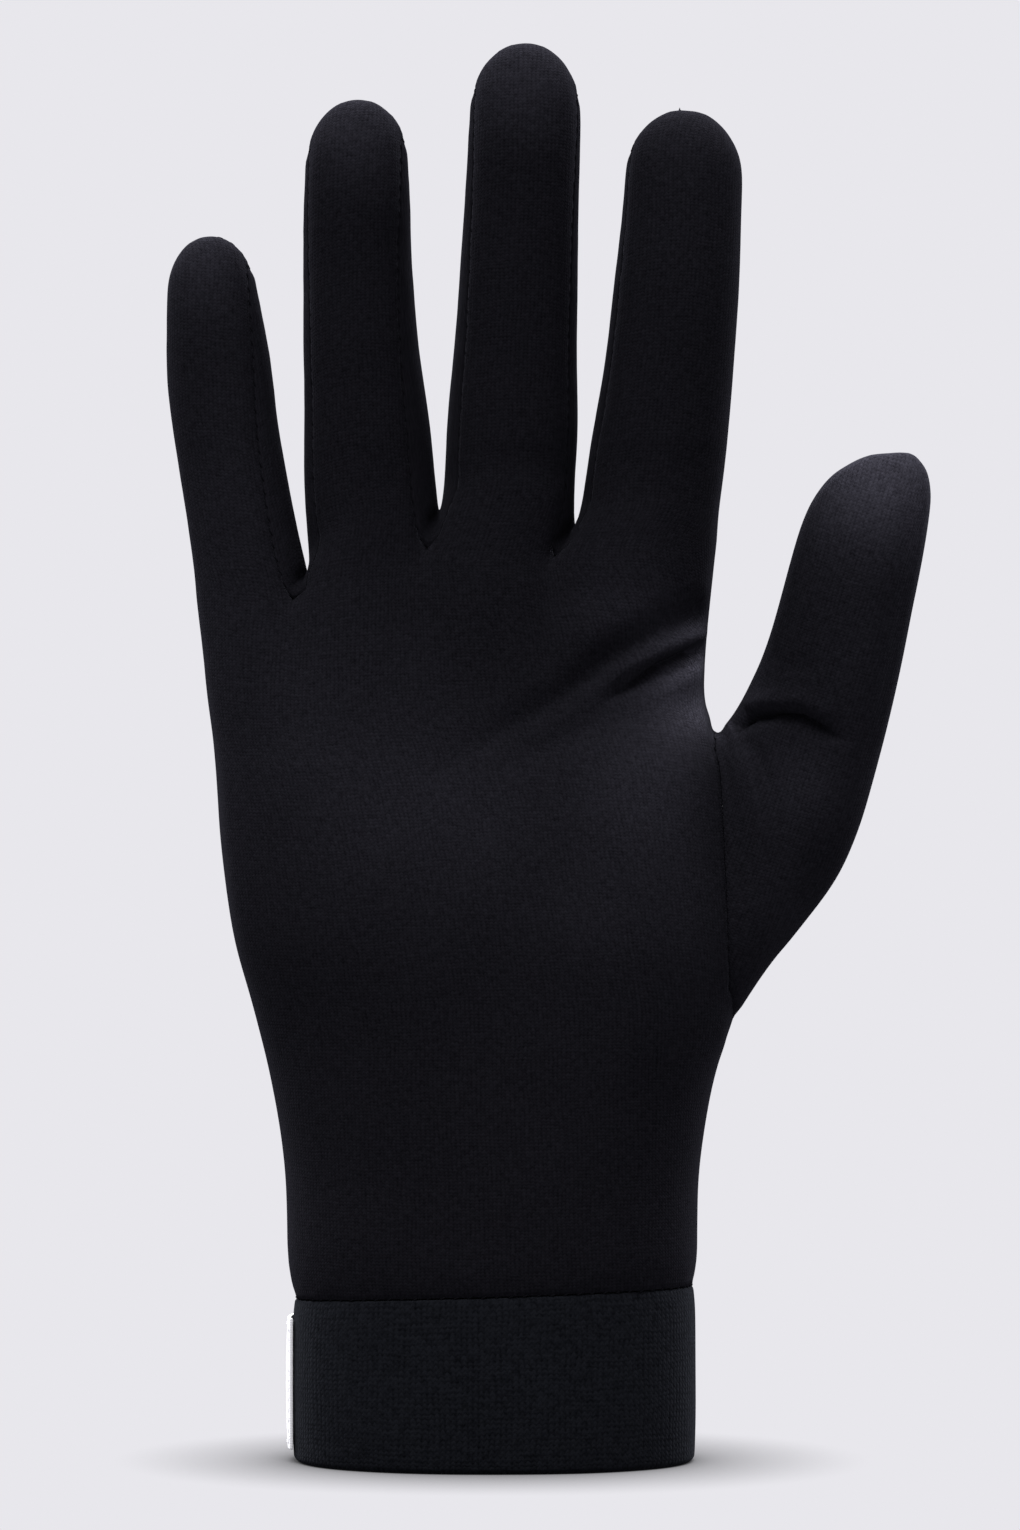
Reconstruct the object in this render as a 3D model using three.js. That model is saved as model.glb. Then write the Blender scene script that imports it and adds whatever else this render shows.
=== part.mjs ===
// A right-hand glove liner of thin knitted jersey, in the shape of the hand that wears it.
//
// It is cut and sewn. A palm panel wraps round both outer edges of the hand to a back panel,
// a gore lines each of the three gaps between the fingers, the thumb is a tube set into a
// side opening, and a doubled cuff band with a small bare label closes the wrist.
//
// Frame, in millimetres: +Z runs up the fingers, the palm faces -Y and the thumb is on +X.
// The origin is the centre of the cuff's open end.
import * as THREE from "three";

// Cloth and seams
const CLOTH = 1; // wall of the jersey
const SEAM_GAP = 0.3; // between two pieces at a seam

// Cuff
const CUFF_WIDTH = 68.2;
const CUFF_DEPTH = 46;
const CUFF_HEIGHT = 28.6; // up to the cuff seam, at the middle of the hand
const CUFF_SEAM_RISE = 2.2; // how much higher the seam lies on the thumb side
const CUFF_WALL = 2.4; // the band is doubled
const CUFF_PINCH = 0.8; // how far the stitches of the cuff seam pull the cloth in

// Hand
const PALM_DEPTH = 30;
const HAND_LENGTH = 132.3; // from the cuff seam up to the highest finger fork
const LITTLE_WIDTH = 19.4;
const RING_WIDTH = 22.1;
const MIDDLE_WIDTH = 23.1;
const INDEX_WIDTH = 24.1;
const LITTLE_LENGTH = 59.2;
const RING_LENGTH = 75.1;
const MIDDLE_LENGTH = 80.5;
const INDEX_LENGTH = 71.9;
const FORK_DROP = 6; // how far a gore's foot lies below its fork
const PALM_WIDTH = LITTLE_WIDTH + RING_WIDTH + MIDDLE_WIDTH + INDEX_WIDTH;

// Thumb
const THUMB_FOOT = 49.9; // from the cuff seam up to the foot of the thumb seam on the palm
const THUMB_SEAM = 41.1; // the seam's length on the palm
const THUMB_SEAM_DIP = 5.5; // how much lower its foot lies at the hand's outer edge
const THUMB_SEAM_RISE = 2.4; // how much higher the crotch lies than its top on the palm
const THUMB_REACH = 36; // from the crotch out to the thumb's outer edge
const THUMB_LENGTH = 46.8; // from the crotch up to the thumb's tip
const THUMB_DEPTH = 20;
const THUMB_FORWARD = 14; // how far the tip stands before the middle of the palm

// Label
const LABEL_HEIGHT = 22.2;
const LABEL_WIDTH = 24; // round the cuff
const LABEL_FRONT = 4.8; // how far its front edge lies before the cuff's outermost line
const LABEL_LIFT = 2.2; // its lower edge above the cuff's open end
const LABEL_THICKNESS = 0.6;
const LABEL_BOW = 0.5; // how far its middle stands off the cuff

// A table's rows, as objects whose keys are the names of its columns.
function table(columns, ...rows) {
  const names = columns.split(" ");
  return rows.map((row) => Object.fromEntries(names.map((name, index) => [name, row[index]])));
}

// Sections of the hand. up is the share of HAND_LENGTH above the cuff seam. little and thumb are
// the two outer edges as shares of the width named beside them, front and back the half depths
// as shares of the depth named beside them. thenar, heel and hollow are the swellings under the
// thumb and the little finger and the dip between them, as shares of PALM_DEPTH. square is the
// section's exponent: 2 is an ellipse.
const HAND_SECTIONS = table(
  "up width little thumb depth front back thenar heel hollow square",
  [0, CUFF_WIDTH, -0.5, 0.5, CUFF_DEPTH, 0.5, 0.5, 0, 0, 0, 2.2],
  [0.05, CUFF_WIDTH, -0.513, 0.505, CUFF_DEPTH, 0.51, 0.5, 0, 0, 0, 2.2],
  [0.16, CUFF_WIDTH, -0.522, 0.513, CUFF_DEPTH, 0.48, 0.46, 0.02, 0.01, 0, 2.2],
  [0.27, CUFF_WIDTH, -0.555, 0.547, CUFF_DEPTH, 0.44, 0.42, 0.06, 0.05, 0, 2.3],
  [0.366, PALM_WIDTH, -0.462, 0.466, PALM_DEPTH, 0.61, 0.6, 0.12, 0.09, 0.01, 2.5],
  [0.46, PALM_WIDTH, -0.5, 0.487, PALM_DEPTH, 0.57, 0.56, 0.2, 0.12, 0.03, 2.9],
  [0.575, PALM_WIDTH, -0.523, 0.484, PALM_DEPTH, 0.54, 0.53, 0.21, 0.13, 0.06, 3],
  [0.66, PALM_WIDTH, -0.533, 0.46, PALM_DEPTH, 0.52, 0.51, 0.17, 0.12, 0.07, 2.9],
  [0.715, PALM_WIDTH, -0.54, 0.429, PALM_DEPTH, 0.5, 0.5, 0.11, 0.1, 0.06, 2.7],
  [0.757, PALM_WIDTH, -0.547, 0.405, PALM_DEPTH, 0.49, 0.495, 0.07, 0.09, 0.05, 2.5],
  [0.83, PALM_WIDTH, -0.554, 0.405, PALM_DEPTH, 0.47, 0.48, 0.03, 0.06, 0.03, 2.4],
  [0.91, PALM_WIDTH, -0.565, 0.415, PALM_DEPTH, 0.43, 0.44, 0, 0.02, 0.01, 2.3],
  [1, PALM_WIDTH, -0.572, 0.43, PALM_DEPTH, 0.39, 0.4, 0, 0, 0, 2.2],
);

// Where the palm's swellings and its dip lie, from -1 at the little-finger edge to 1 at the
// thumb's, and how far they reach.
const SWELLINGS = {
  thenar: { centre: 0.6, reach: 0.5 },
  heel: { centre: -0.6, reach: 0.45 },
  hollow: { centre: 0, reach: 0.4 },
};

// Fingers from the little one to the index. lean is in degrees towards the thumb, bow is how far
// the middle of the finger curves towards the thumb, as a share of its length, and tip is the
// exponent of the fingertip's outline: 2 is an ellipse, less is more pointed.
const FINGERS = [
  { width: LITTLE_WIDTH, length: LITTLE_LENGTH, lean: -7.2, bow: -0.02, tip: 1.7 },
  { width: RING_WIDTH, length: RING_LENGTH, lean: -2.3, bow: -0.0135, tip: 2.2 },
  { width: MIDDLE_WIDTH, length: MIDDLE_LENGTH, lean: 2.4, bow: 0.002, tip: 2.2 },
  { width: INDEX_WIDTH, length: INDEX_LENGTH, lean: 5.4, bow: 0.0165, tip: 1.85 },
];

// Widths along the four fingers, as shares of each finger's own width at its root, and the depth
// there as a share of the width. along is the share of the way from the fork to the tip.
const FINGER_TAPER = [
  { along: 0, widths: [1, 1, 1, 1], depth: 0.96 },
  { along: 0.06, widths: [0.967, 0.985, 0.962, 0.972], depth: 0.95 },
  { along: 0.2, widths: [0.935, 0.965, 0.953, 0.95], depth: 0.93 },
  { along: 0.4, widths: [0.918, 0.88, 0.89, 0.905], depth: 0.92 },
  { along: 0.6, widths: [0.915, 0.824, 0.845, 0.873], depth: 0.92 },
  { along: 0.75, widths: [0.842, 0.808, 0.822, 0.838], depth: 0.89 },
  { along: 0.85, widths: [0.778, 0.778, 0.808, 0.818], depth: 0.85 },
];

// Gores. up is the fork's height as a share of HAND_LENGTH. drop and aside place the gore's foot
// on the palm, as shares of FORK_DROP, and near and far are how far, in degrees, the gore
// reaches round the finger on its little-finger side and round the one on its thumb side.
const GORES = [
  { name: "fourchette_little_ring", up: 0.918, drop: 0.73, aside: -0.5, near: 60, far: 32 },
  { name: "fourchette_ring_middle", up: 1, drop: 1.2, aside: -0.4, near: 52, far: 36 },
  { name: "fourchette_middle_index", up: 0.98, drop: 0.92, aside: -0.72, near: 30, far: 24 },
];
const GORE_BACK = { drop: 1.5, aside: -0.1 }; // the same for its foot on the back of the hand
const GORE_FOOT_DEPTH = 0.82; // its feet's distance from the middle, as a share of the half depth
const GORE_END = 0.96; // the share of a finger's length where a gore would have no width
const GORE_LEAST = 0.17; // the share of its reach that a gore keeps at its upper end

// Sections of the thumb from its seam to its tip. in_out, in_up, out_out and out_up place the
// edge that faces the index finger and the outer edge, out as shares of THUMB_REACH and up as
// shares of THUMB_LENGTH, both from the crotch. depth is a share of THUMB_DEPTH and forward
// a share of THUMB_FORWARD.
const THUMB_SECTIONS = table(
  "in_out in_up out_out out_up depth forward",
  [0.025, 0.02, 0.234, -0.858, 1.16, 0.12],
  [0.052, 0.04, 0.393, -0.706, 1.14, 0.18],
  [0.082, 0.072, 0.549, -0.543, 1.11, 0.26],
  [0.118, 0.12, 0.654, -0.364, 1.07, 0.35],
  [0.157, 0.182, 0.728, -0.167, 1.03, 0.45],
  [0.2, 0.258, 0.794, 0.025, 1, 0.55],
  [0.245, 0.362, 0.846, 0.214, 0.99, 0.65],
  [0.285, 0.476, 0.892, 0.404, 0.98, 0.75],
  [0.33, 0.605, 0.936, 0.575, 0.95, 0.84],
  [0.384, 0.74, 0.97, 0.746, 0.87, 0.92],
  [0.447, 0.841, 0.98, 0.852, 0.74, 0.96],
  [0.54, 0.925, 0.955, 0.939, 0.52, 0.98],
  [0.67, 0.98, 0.89, 0.989, 0.26, 1],
);
const THUMB_TIP = { out: 0.79, up: 1 };

// Folds that the cloth takes on the palm side. Each runs from one place to another, across as a
// share of PALM_WIDTH from the cuff's middle line and up as a share of HAND_LENGTH. width and
// depth are shares of PALM_DEPTH, and a positive depth is a dent.
const FOLDS = table(
  "from_across from_up to_across to_up width depth",
  [0.42, 0.87, 0.12, 0.765, 0.26, 0.055],
  [0.42, 0.835, 0.1, 0.715, 0.16, -0.03],
  [0.42, 0.815, 0.2, 0.745, 0.14, 0.05],
  [0.2, 0.745, -0.04, 0.67, 0.17, 0.045],
  [0.44, 0.725, 0.54, 0.745, 0.17, 0.04],
  [0.54, 0.745, 0.68, 0.705, 0.17, 0.04],
);

// Rows and columns of the mesh. A ring round a finger has FRONT columns on the palm side, SIDE
// on each side and FRONT on the back, and the hand has four fingers' fronts side by side.
const FRONT = 6;
const SIDE = 4;
const RING = 2 * (FRONT + SIDE);
const HAND_FRONT = FRONT * FINGERS.length;
const HAND_RING = 2 * (HAND_FRONT + SIDE);
const ROWS_BELOW_THUMB = [0, 0.08, 0.22, 0.4, 0.6, 0.8, 1]; // shares of THUMB_FOOT
const ROWS_ABOVE_THUMB = [0.22, 0.43, 0.63, 0.82, 1]; // shares of the way on to the forks
const FINGER_ROWS = [0.06, 0.15, 0.27, 0.4, 0.53, 0.66, 0.77, 0.85];
const DOME_START = 0.85; // where a fingertip starts to round off
const DOME_TURNS = [30, 57, 78]; // degrees round the fingertip's dome
const GORE_ROWS = 9; // the finger rows that a gore runs along
const ROOT_BLEND = 0.22; // share of the hand's height over which it turns into finger roots
const SEAM_PUCKER = 0.022; // share of the hand's height over which the cuff seam draws it in
const EDGE = 0.05; // share of the width between the outermost line and the first column
const FINGER_SQUARE = 2.15;
const THUMB_SQUARE = 2.25;
const CROTCH_REACH = 0.05; // share of the hand's height that the rise at the crotch reaches
const FOOT_REACH = 0.07; // and that the dip at the foot of the thumb's seam reaches
const OUTER_FRONT = 45; // degrees from a finger's outer line to its first front column
const BACK_REACH = 38; // degrees that a gore or an outer side reaches round the back
const FINGER_CURL = 0.06; // how far a fingertip bends forward, as a share of its length
const CURL_POWER = 1.6;

const radians = THREE.MathUtils.degToRad;
const mix = THREE.MathUtils.lerp;
const smooth = (value) => THREE.MathUtils.smoothstep(value, 0, 1);

// The value of one column of a table at any place between its rows, on a smooth curve.
function read(table, place, at, column) {
  const last = table.length - 1;
  const clamped = THREE.MathUtils.clamp(at, table[0][place], table[last][place]);
  let row = 0;
  while (row < last - 1 && clamped > table[row + 1][place]) row += 1;
  const slope = (index) => {
    const low = Math.max(index - 1, 0);
    const high = Math.min(index + 1, last);
    return (column(table[high]) - column(table[low])) / (table[high][place] - table[low][place]);
  };
  const span = table[row + 1][place] - table[row][place];
  const t = (clamped - table[row][place]) / span;
  const start = column(table[row]);
  const end = column(table[row + 1]);
  const rise = end - start;
  const in_slope = slope(row) * span - rise;
  const out_slope = rise - slope(row + 1) * span;
  return mix(start, end, t) + t * (1 - t) * (in_slope * (1 - t) + out_slope * t);
}

// A point of a rounded section: angle runs from its thumb side over the palm side.
function rounded(angle, square) {
  const across = Math.cos(angle);
  const forward = Math.sin(angle);
  return {
    across: Math.sign(across) * Math.abs(across) ** (2 / square),
    forward: Math.sign(forward) * Math.abs(forward) ** (2 / square),
  };
}

// The hand's section at one height.
function handSection(height) {
  const up = (height - CUFF_HEIGHT) / HAND_LENGTH;
  const at = (column) => read(HAND_SECTIONS, "up", up, column);
  const left = at((row) => row.little * row.width);
  const right = at((row) => row.thumb * row.width);
  return {
    up,
    middle: (left + right) / 2,
    half: (right - left) / 2,
    front: at((row) => row.front * row.depth),
    back: at((row) => row.back * row.depth),
    thenar: at((row) => row.thenar) * PALM_DEPTH,
    heel: at((row) => row.heel) * PALM_DEPTH,
    hollow: at((row) => row.hollow) * PALM_DEPTH,
    square: at((row) => row.square),
  };
}

// The palm's swellings at one place across it, fading out towards its two edges.
function swelling(section, across) {
  const part = (name) => {
    const { centre, reach } = SWELLINGS[name];
    return section[name] * Math.exp(-(((across - centre) / reach) ** 2));
  };
  const fade = 1 - across ** 4;
  return fade * (part("thenar") + part("heel") - part("hollow"));
}

// Forks and fingers in the plane of the hand, as points whose y is their height.
const rootEdge = HAND_SECTIONS[HAND_SECTIONS.length - 1].little * PALM_WIDTH;
const forks = GORES.map((gore, index) => {
  const widths = FINGERS.slice(0, index + 1).reduce((sum, finger) => sum + finger.width, 0);
  return new THREE.Vector2(rootEdge + widths, CUFF_HEIGHT + gore.up * HAND_LENGTH);
});
const fingers = FINGERS.map((finger, index) => {
  const lean = radians(finger.lean);
  const along = new THREE.Vector2(Math.sin(lean), Math.cos(lean));
  const across = new THREE.Vector2(Math.cos(lean), -Math.sin(lean));
  const inner = forks[0].clone().addScaledVector(across, -finger.width);
  const left = index > 0 ? forks[index - 1] : inner;
  const outer = left.clone().addScaledVector(across, finger.width);
  const right = index < forks.length ? forks[index] : outer;
  const root = left.clone().add(right).multiplyScalar(0.5);
  const half = right.clone().sub(left).dot(across) / 2;
  const tilt = right.clone().sub(root).dot(along) / finger.length;
  return { ...finger, index, along, across, root, half, tilt };
});

// Half the finger's width at a share of its length, with the rounded tip.
function fingerHalf(finger, share) {
  const taper = read(FINGER_TAPER, "along", share, (row) => row.widths[finger.index]);
  const dome = Math.max(share - DOME_START, 0) / (1 - DOME_START);
  return finger.half * taper * Math.sqrt(Math.max(1 - dome ** finger.tip, 0));
}

// The finger's axis at a share of its length, shifted to one edge by side: -1, 0 or 1.
function fingerEdge(finger, share, side) {
  const along = mix(finger.tilt * side, 1, share) * finger.length;
  const bow = finger.bow * finger.length * Math.sin(Math.PI * share);
  const point = finger.root.clone().addScaledVector(finger.along, along);
  return point.addScaledVector(finger.across, side * fingerHalf(finger, share) + bow);
}

function fingerPoint(finger, share, angle) {
  const left = fingerEdge(finger, share, -1);
  const right = fingerEdge(finger, share, 1);
  const place = rounded(angle, FINGER_SQUARE);
  const plan = left.clone().lerp(right, (1 + place.across) / 2);
  const depth = fingerHalf(finger, share) * read(FINGER_TAPER, "along", share, (row) => row.depth);
  const curl = FINGER_CURL * finger.length * share ** CURL_POWER;
  return new THREE.Vector3(plan.x, -curl - depth * place.forward, plan.y);
}

// The four angles where a finger's columns turn from front to side and from side to back.
function fingerCorners(finger, share) {
  const narrow = Math.max(Math.sqrt(Math.max(1 - (share / GORE_END) ** 2, 0)), GORE_LEAST);
  const gore_right = GORES[finger.index];
  const gore_left = GORES[finger.index - 1];
  return {
    left_front: 180 - (gore_left ? gore_left.far * narrow : OUTER_FRONT),
    right_front: gore_right ? gore_right.near * narrow : OUTER_FRONT,
    right_back: -BACK_REACH * (gore_right ? narrow : 1),
    left_back: -180 + BACK_REACH * (gore_left ? narrow : 1),
  };
}

// All angles of a ring, in the order front, thumb side, back, little-finger side.
function ringAngles(corners) {
  const turn = [
    [corners.left_front, corners.right_front, FRONT],
    [corners.right_front, corners.right_back, SIDE],
    [corners.right_back, corners.left_back, FRONT],
    [corners.left_back, corners.left_front - 360, SIDE],
  ];
  return turn.flatMap(([from, to, count]) =>
    Array.from({ length: count }, (_, step) => radians(mix(from, to, step / count))),
  );
}

// A gore's lowest line, from its foot on the palm over the fork to its foot on the back.
function forkPoint(index, share) {
  const gore = GORES[index];
  const fork = forks[index];
  const turn = (1 - 2 * share) ** 2;
  const foot = share < 0.5 ? gore : GORE_BACK;
  const half = (fingers[index].half + fingers[index + 1].half) / 2;
  const depth = GORE_FOOT_DEPTH * FINGER_TAPER[0].depth * half;
  const [aside, drop] = [FORK_DROP * foot.aside * turn, FORK_DROP * foot.drop * turn];
  return new THREE.Vector3(fork.x + aside, depth * (2 * share - 1), fork.y - drop);
}

// The hand's top ring, which the four fingers' lowest rings share.
function topPoint(column) {
  if (column > HAND_FRONT && column < HAND_FRONT + SIDE) {
    const angles = ringAngles(fingerCorners(fingers[3], 0));
    return fingerPoint(fingers[3], 0, angles[FRONT + column - HAND_FRONT]);
  }
  if (column > HAND_RING - SIDE) {
    const angles = ringAngles(fingerCorners(fingers[0], 0));
    return fingerPoint(fingers[0], 0, angles[RING - HAND_RING + column]);
  }
  const behind = column > HAND_FRONT;
  const place = behind ? column - HAND_FRONT - SIDE : column;
  const order = Math.min(Math.floor(place / FRONT), FINGERS.length - 1);
  const finger = fingers[behind ? FINGERS.length - 1 - order : order];
  const step = place - order * FRONT;
  const angles = ringAngles(fingerCorners(finger, 0)).slice(behind ? FRONT + SIDE : 0);
  const foot = (side) => {
    const gore = side > 0 ? finger.index : finger.index - 1;
    const angle = angles[(side > 0) === behind ? 0 : FRONT];
    if (gore < 0 || gore >= GORES.length) return new THREE.Vector3();
    return forkPoint(gore, behind ? 1 : 0).sub(fingerPoint(finger, 0, angle));
  };
  const first = foot(behind ? 1 : -1);
  const second = foot(behind ? -1 : 1);
  return fingerPoint(finger, 0, angles[step]).add(first.lerp(second, step / FRONT));
}

function seamHeight(x) {
  return CUFF_HEIGHT + CUFF_SEAM_RISE * x / CUFF_WIDTH;
}

// A point of a hand section at one column, with the palm's swellings.
function sectionPoint(section, column, share_across) {
  const side = column > HAND_FRONT && column < HAND_FRONT + SIDE ? 1 : -1;
  const start = side > 0 ? HAND_FRONT : HAND_RING - SIDE;
  const corner = Math.acos((1 - 2 * EDGE) ** (section.square / 2));
  const onSide = (column > HAND_FRONT && column < HAND_FRONT + SIDE) || column > HAND_RING - SIDE;
  if (onSide) {
    const step = (column - start) / SIDE;
    const place = rounded(mix(corner, -corner, side > 0 ? step : 1 - step), section.square);
    const depth = place.forward > 0 ? section.front : section.back;
    const x = section.middle + side * section.half * place.across;
    return new THREE.Vector2(x, -depth * place.forward);
  }
  const across = 2 * share_across - 1;
  const round = (1 - Math.abs(across) ** section.square) ** (1 / section.square);
  const palm = -section.front * round - swelling(section, across);
  const y = column <= HAND_FRONT ? palm : section.back * round;
  return new THREE.Vector2(section.middle + section.half * across, y);
}

function evenShare(column) {
  const front = column <= HAND_FRONT;
  const step = front ? column / HAND_FRONT : 1 - (column - HAND_FRONT - SIDE) / HAND_FRONT;
  return mix(EDGE, 1 - EDGE, step);
}

// The thumb's opening, as shares of the way from the cuff seam to the top ring.
const sideLength = topPoint(HAND_FRONT).z - seamHeight(CUFF_WIDTH / 2);
const openingStart = THUMB_FOOT / sideLength;
const openingEnd = (THUMB_FOOT + THUMB_SEAM) / sideLength;

// How far the outer edge of the hand is shifted up or down to round off the thumb's opening.
function openingShift(column, share) {
  const step = (column - HAND_FRONT) / SIDE;
  if (step <= 0 || step >= 1) return 0;
  const near = (row, reach) => Math.exp(-(((share - row) / reach) ** 2));
  const rise = THUMB_SEAM_RISE * near(openingEnd, CROTCH_REACH);
  const dip = THUMB_SEAM_DIP * near(openingStart, FOOT_REACH);
  return (rise - dip) * Math.sin(Math.PI * step);
}

// A point of the hand between the cuff seam (share 0) and the top ring (share 1).
function handPoint(column, share) {
  const top = topPoint(column);
  const foot = sectionPoint(handSection(CUFF_HEIGHT), column, evenShare(column));
  const seam = seamHeight(foot.x);
  const height = mix(seam, top.z, share) + openingShift(column, share);
  const top_section = handSection(top.z);
  const top_share = (top.x - top_section.middle + top_section.half) / (2 * top_section.half);
  const across = mix(evenShare(column), top_share, smooth(share));
  const plain = sectionPoint(handSection(height), column, across);
  const plain_top = sectionPoint(top_section, column, top_share);
  const blend = smooth((share - 1 + ROOT_BLEND) / ROOT_BLEND);
  const x = plain.x + blend * (top.x - plain_top.x);
  const y = plain.y + blend * (top.y - plain_top.y);
  const pinch = 1 - CUFF_PINCH / (CUFF_DEPTH / 2) * (1 - smooth(share / SEAM_PUCKER));
  return new THREE.Vector3(x * pinch, y * pinch, height);
}

// The outer face of the hand: its points, and its quads by the piece that each belongs to.
const points = [];
const faces = new Map();

function addPoint(point) {
  points.push(point);
  return points.length - 1;
}

function addFace(piece, corners) {
  if (!faces.has(piece)) faces.set(piece, []);
  faces.get(piece).push(corners);
}

// Quads between two rings; piece(column) names each quad's piece, or null for an opening.
function addBand(lower, upper, piece) {
  lower.forEach((corner, column) => {
    const next = (column + 1) % lower.length;
    const name = piece(column);
    if (name) addFace(name, [corner, lower[next], upper[next], upper[column]]);
  });
}

function addTip(ring, tip, piece) {
  const top = addPoint(tip);
  ring.forEach((corner, column) => {
    addFace(piece(column), [corner, ring[(column + 1) % ring.length], top]);
  });
}

// The hand, with the thumb's opening left out of its thumb side.
const openingRow = ROWS_BELOW_THUMB.length - 1;
const handRows = [
  ...ROWS_BELOW_THUMB.map((share) => share * openingStart),
  ...Array.from({ length: FRONT }, (_, row) => mix(openingStart, openingEnd, (row + 1) / FRONT)),
  ...ROWS_ABOVE_THUMB.map((share) => mix(openingEnd, 1, share)),
];
const handRings = handRows.map((share) =>
  Array.from({ length: HAND_RING }, (_, column) => addPoint(handPoint(column, share))),
);

function inOpening(row, column) {
  const rows = row >= openingRow && row < openingRow + FRONT;
  return rows && column >= HAND_FRONT && column < HAND_FRONT + SIDE;
}

for (let row = 0; row + 1 < handRings.length; row += 1) {
  addBand(handRings[row], handRings[row + 1], (column) => {
    if (inOpening(row, column)) return null;
    const back = column >= HAND_FRONT + SIDE && column < HAND_RING - SIDE;
    return back ? "back_panel" : "palm_panel";
  });
}

// The fingers, on the hand's top ring and on the forks between them.
const topRing = handRings[handRings.length - 1];
const forkLines = forks.map((_, index) =>
  Array.from({ length: SIDE - 1 }, (__, step) => addPoint(forkPoint(index, (step + 1) / SIDE))),
);

function fingerRoot(finger) {
  const front = topRing.slice(FRONT * finger.index, FRONT * finger.index + FRONT + 1);
  const behind = HAND_FRONT + SIDE + FRONT * (FINGERS.length - 1 - finger.index);
  const back = topRing.slice(behind, behind + FRONT + 1);
  const right = forkLines[finger.index] ?? topRing.slice(HAND_FRONT + 1, HAND_FRONT + SIDE);
  const left = forkLines[finger.index - 1]?.toReversed() ?? topRing.slice(HAND_RING - SIDE + 1);
  return [...front, ...right, ...back, ...left];
}

function fingerPiece(finger, row, column) {
  if (column < FRONT) return "palm_panel";
  if (column >= FRONT + SIDE && column < 2 * FRONT + SIDE) return "back_panel";
  const right = column < FRONT + SIDE;
  const gore = right ? finger.index : finger.index - 1;
  if (!GORES[gore]) return "palm_panel";
  if (row < GORE_ROWS) return GORES[gore].name;
  const step = right ? column - FRONT : RING - 1 - column;
  return step < SIDE / 2 ? "palm_panel" : "back_panel";
}

const domeRows = DOME_TURNS.map((turn) => mix(DOME_START, 1, Math.sin(radians(turn))));
for (const finger of fingers) {
  let ring = fingerRoot(finger);
  [...FINGER_ROWS, ...domeRows].forEach((share, row) => {
    const angles = ringAngles(fingerCorners(finger, share));
    const next = angles.map((angle) => addPoint(fingerPoint(finger, share, angle)));
    addBand(ring, next, (column) => fingerPiece(finger, row, column));
    ring = next;
  });
  addTip(ring, fingerPoint(finger, 1, 0), (column) => fingerPiece(finger, Infinity, column));
}

// The thumb, from the edge of its opening in the hand.
const openingRings = handRings.slice(openingRow, openingRow + FRONT + 1).toReversed();
const thumbRoot = [
  ...openingRings.map((ring) => ring[HAND_FRONT]),
  ...handRings[openingRow].slice(HAND_FRONT + 1, HAND_FRONT + SIDE),
  ...openingRings.toReversed().map((ring) => ring[HAND_FRONT + SIDE]),
  ...openingRings[0].slice(HAND_FRONT + 1, HAND_FRONT + SIDE).toReversed(),
];
const crotch = points[openingRings[0][HAND_FRONT + SIDE / 2]];

function thumbPlace(out, up) {
  return new THREE.Vector2(crotch.x + out * THUMB_REACH, crotch.z + up * THUMB_LENGTH);
}

function thumbPoint(section, angle) {
  const inner = thumbPlace(section.in_out, section.in_up);
  const outer = thumbPlace(section.out_out, section.out_up);
  const place = rounded(angle, THUMB_SQUARE);
  const plan = inner.lerp(outer, (1 + place.across) / 2);
  const depth = section.depth * THUMB_DEPTH / 2 * place.forward;
  return new THREE.Vector3(plan.x, -section.forward * THUMB_FORWARD - depth, plan.y);
}

const thumbCorners = { left_front: 140, right_front: 40, right_back: -40, left_back: -140 };
let thumbRing = thumbRoot;
for (const section of THUMB_SECTIONS) {
  const next = ringAngles(thumbCorners).map((angle) => addPoint(thumbPoint(section, angle)));
  addBand(thumbRing, next, () => "thumb");
  thumbRing = next;
}
const thumbTip = thumbPlace(THUMB_TIP.out, THUMB_TIP.up);
addTip(thumbRing, new THREE.Vector3(thumbTip.x, -THUMB_FORWARD, thumbTip.y), () => "thumb");

// Folds: each dents or lifts the palm side along its line and fades out at its ends.
function foldDepth(fold, point) {
  const place = (across, up) => new THREE.Vector2(across * PALM_WIDTH, CUFF_HEIGHT + up * HAND_LENGTH);
  const start = place(fold.from_across, fold.from_up);
  const line = place(fold.to_across, fold.to_up).sub(start);
  const offset = new THREE.Vector2(point.x, point.z).sub(start);
  const share = THREE.MathUtils.clamp(offset.dot(line) / line.lengthSq(), 0, 1);
  const distance = offset.addScaledVector(line, -share).length() / (fold.width * PALM_DEPTH);
  return fold.depth * PALM_DEPTH * Math.exp(-(distance ** 2));
}

function normals() {
  const sums = points.map(() => new THREE.Vector3());
  for (const corners of [...faces.values()].flat()) {
    for (let turn = 1; turn + 1 < corners.length; turn += 1) {
      const [a, b, c] = [corners[0], corners[turn], corners[turn + 1]].map((index) => points[index]);
      const area = b.clone().sub(a).cross(c.clone().sub(a));
      corners.forEach((index) => sums[index].add(area));
    }
  }
  return sums.map((sum) => sum.normalize());
}

normals().forEach((normal, index) => {
  const facing = smooth(-normal.y);
  const depth = FOLDS.reduce((sum, fold) => sum + foldDepth(fold, points[index]), 0);
  points[index].addScaledVector(normal, -depth * facing);
});
const outward = normals();

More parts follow.
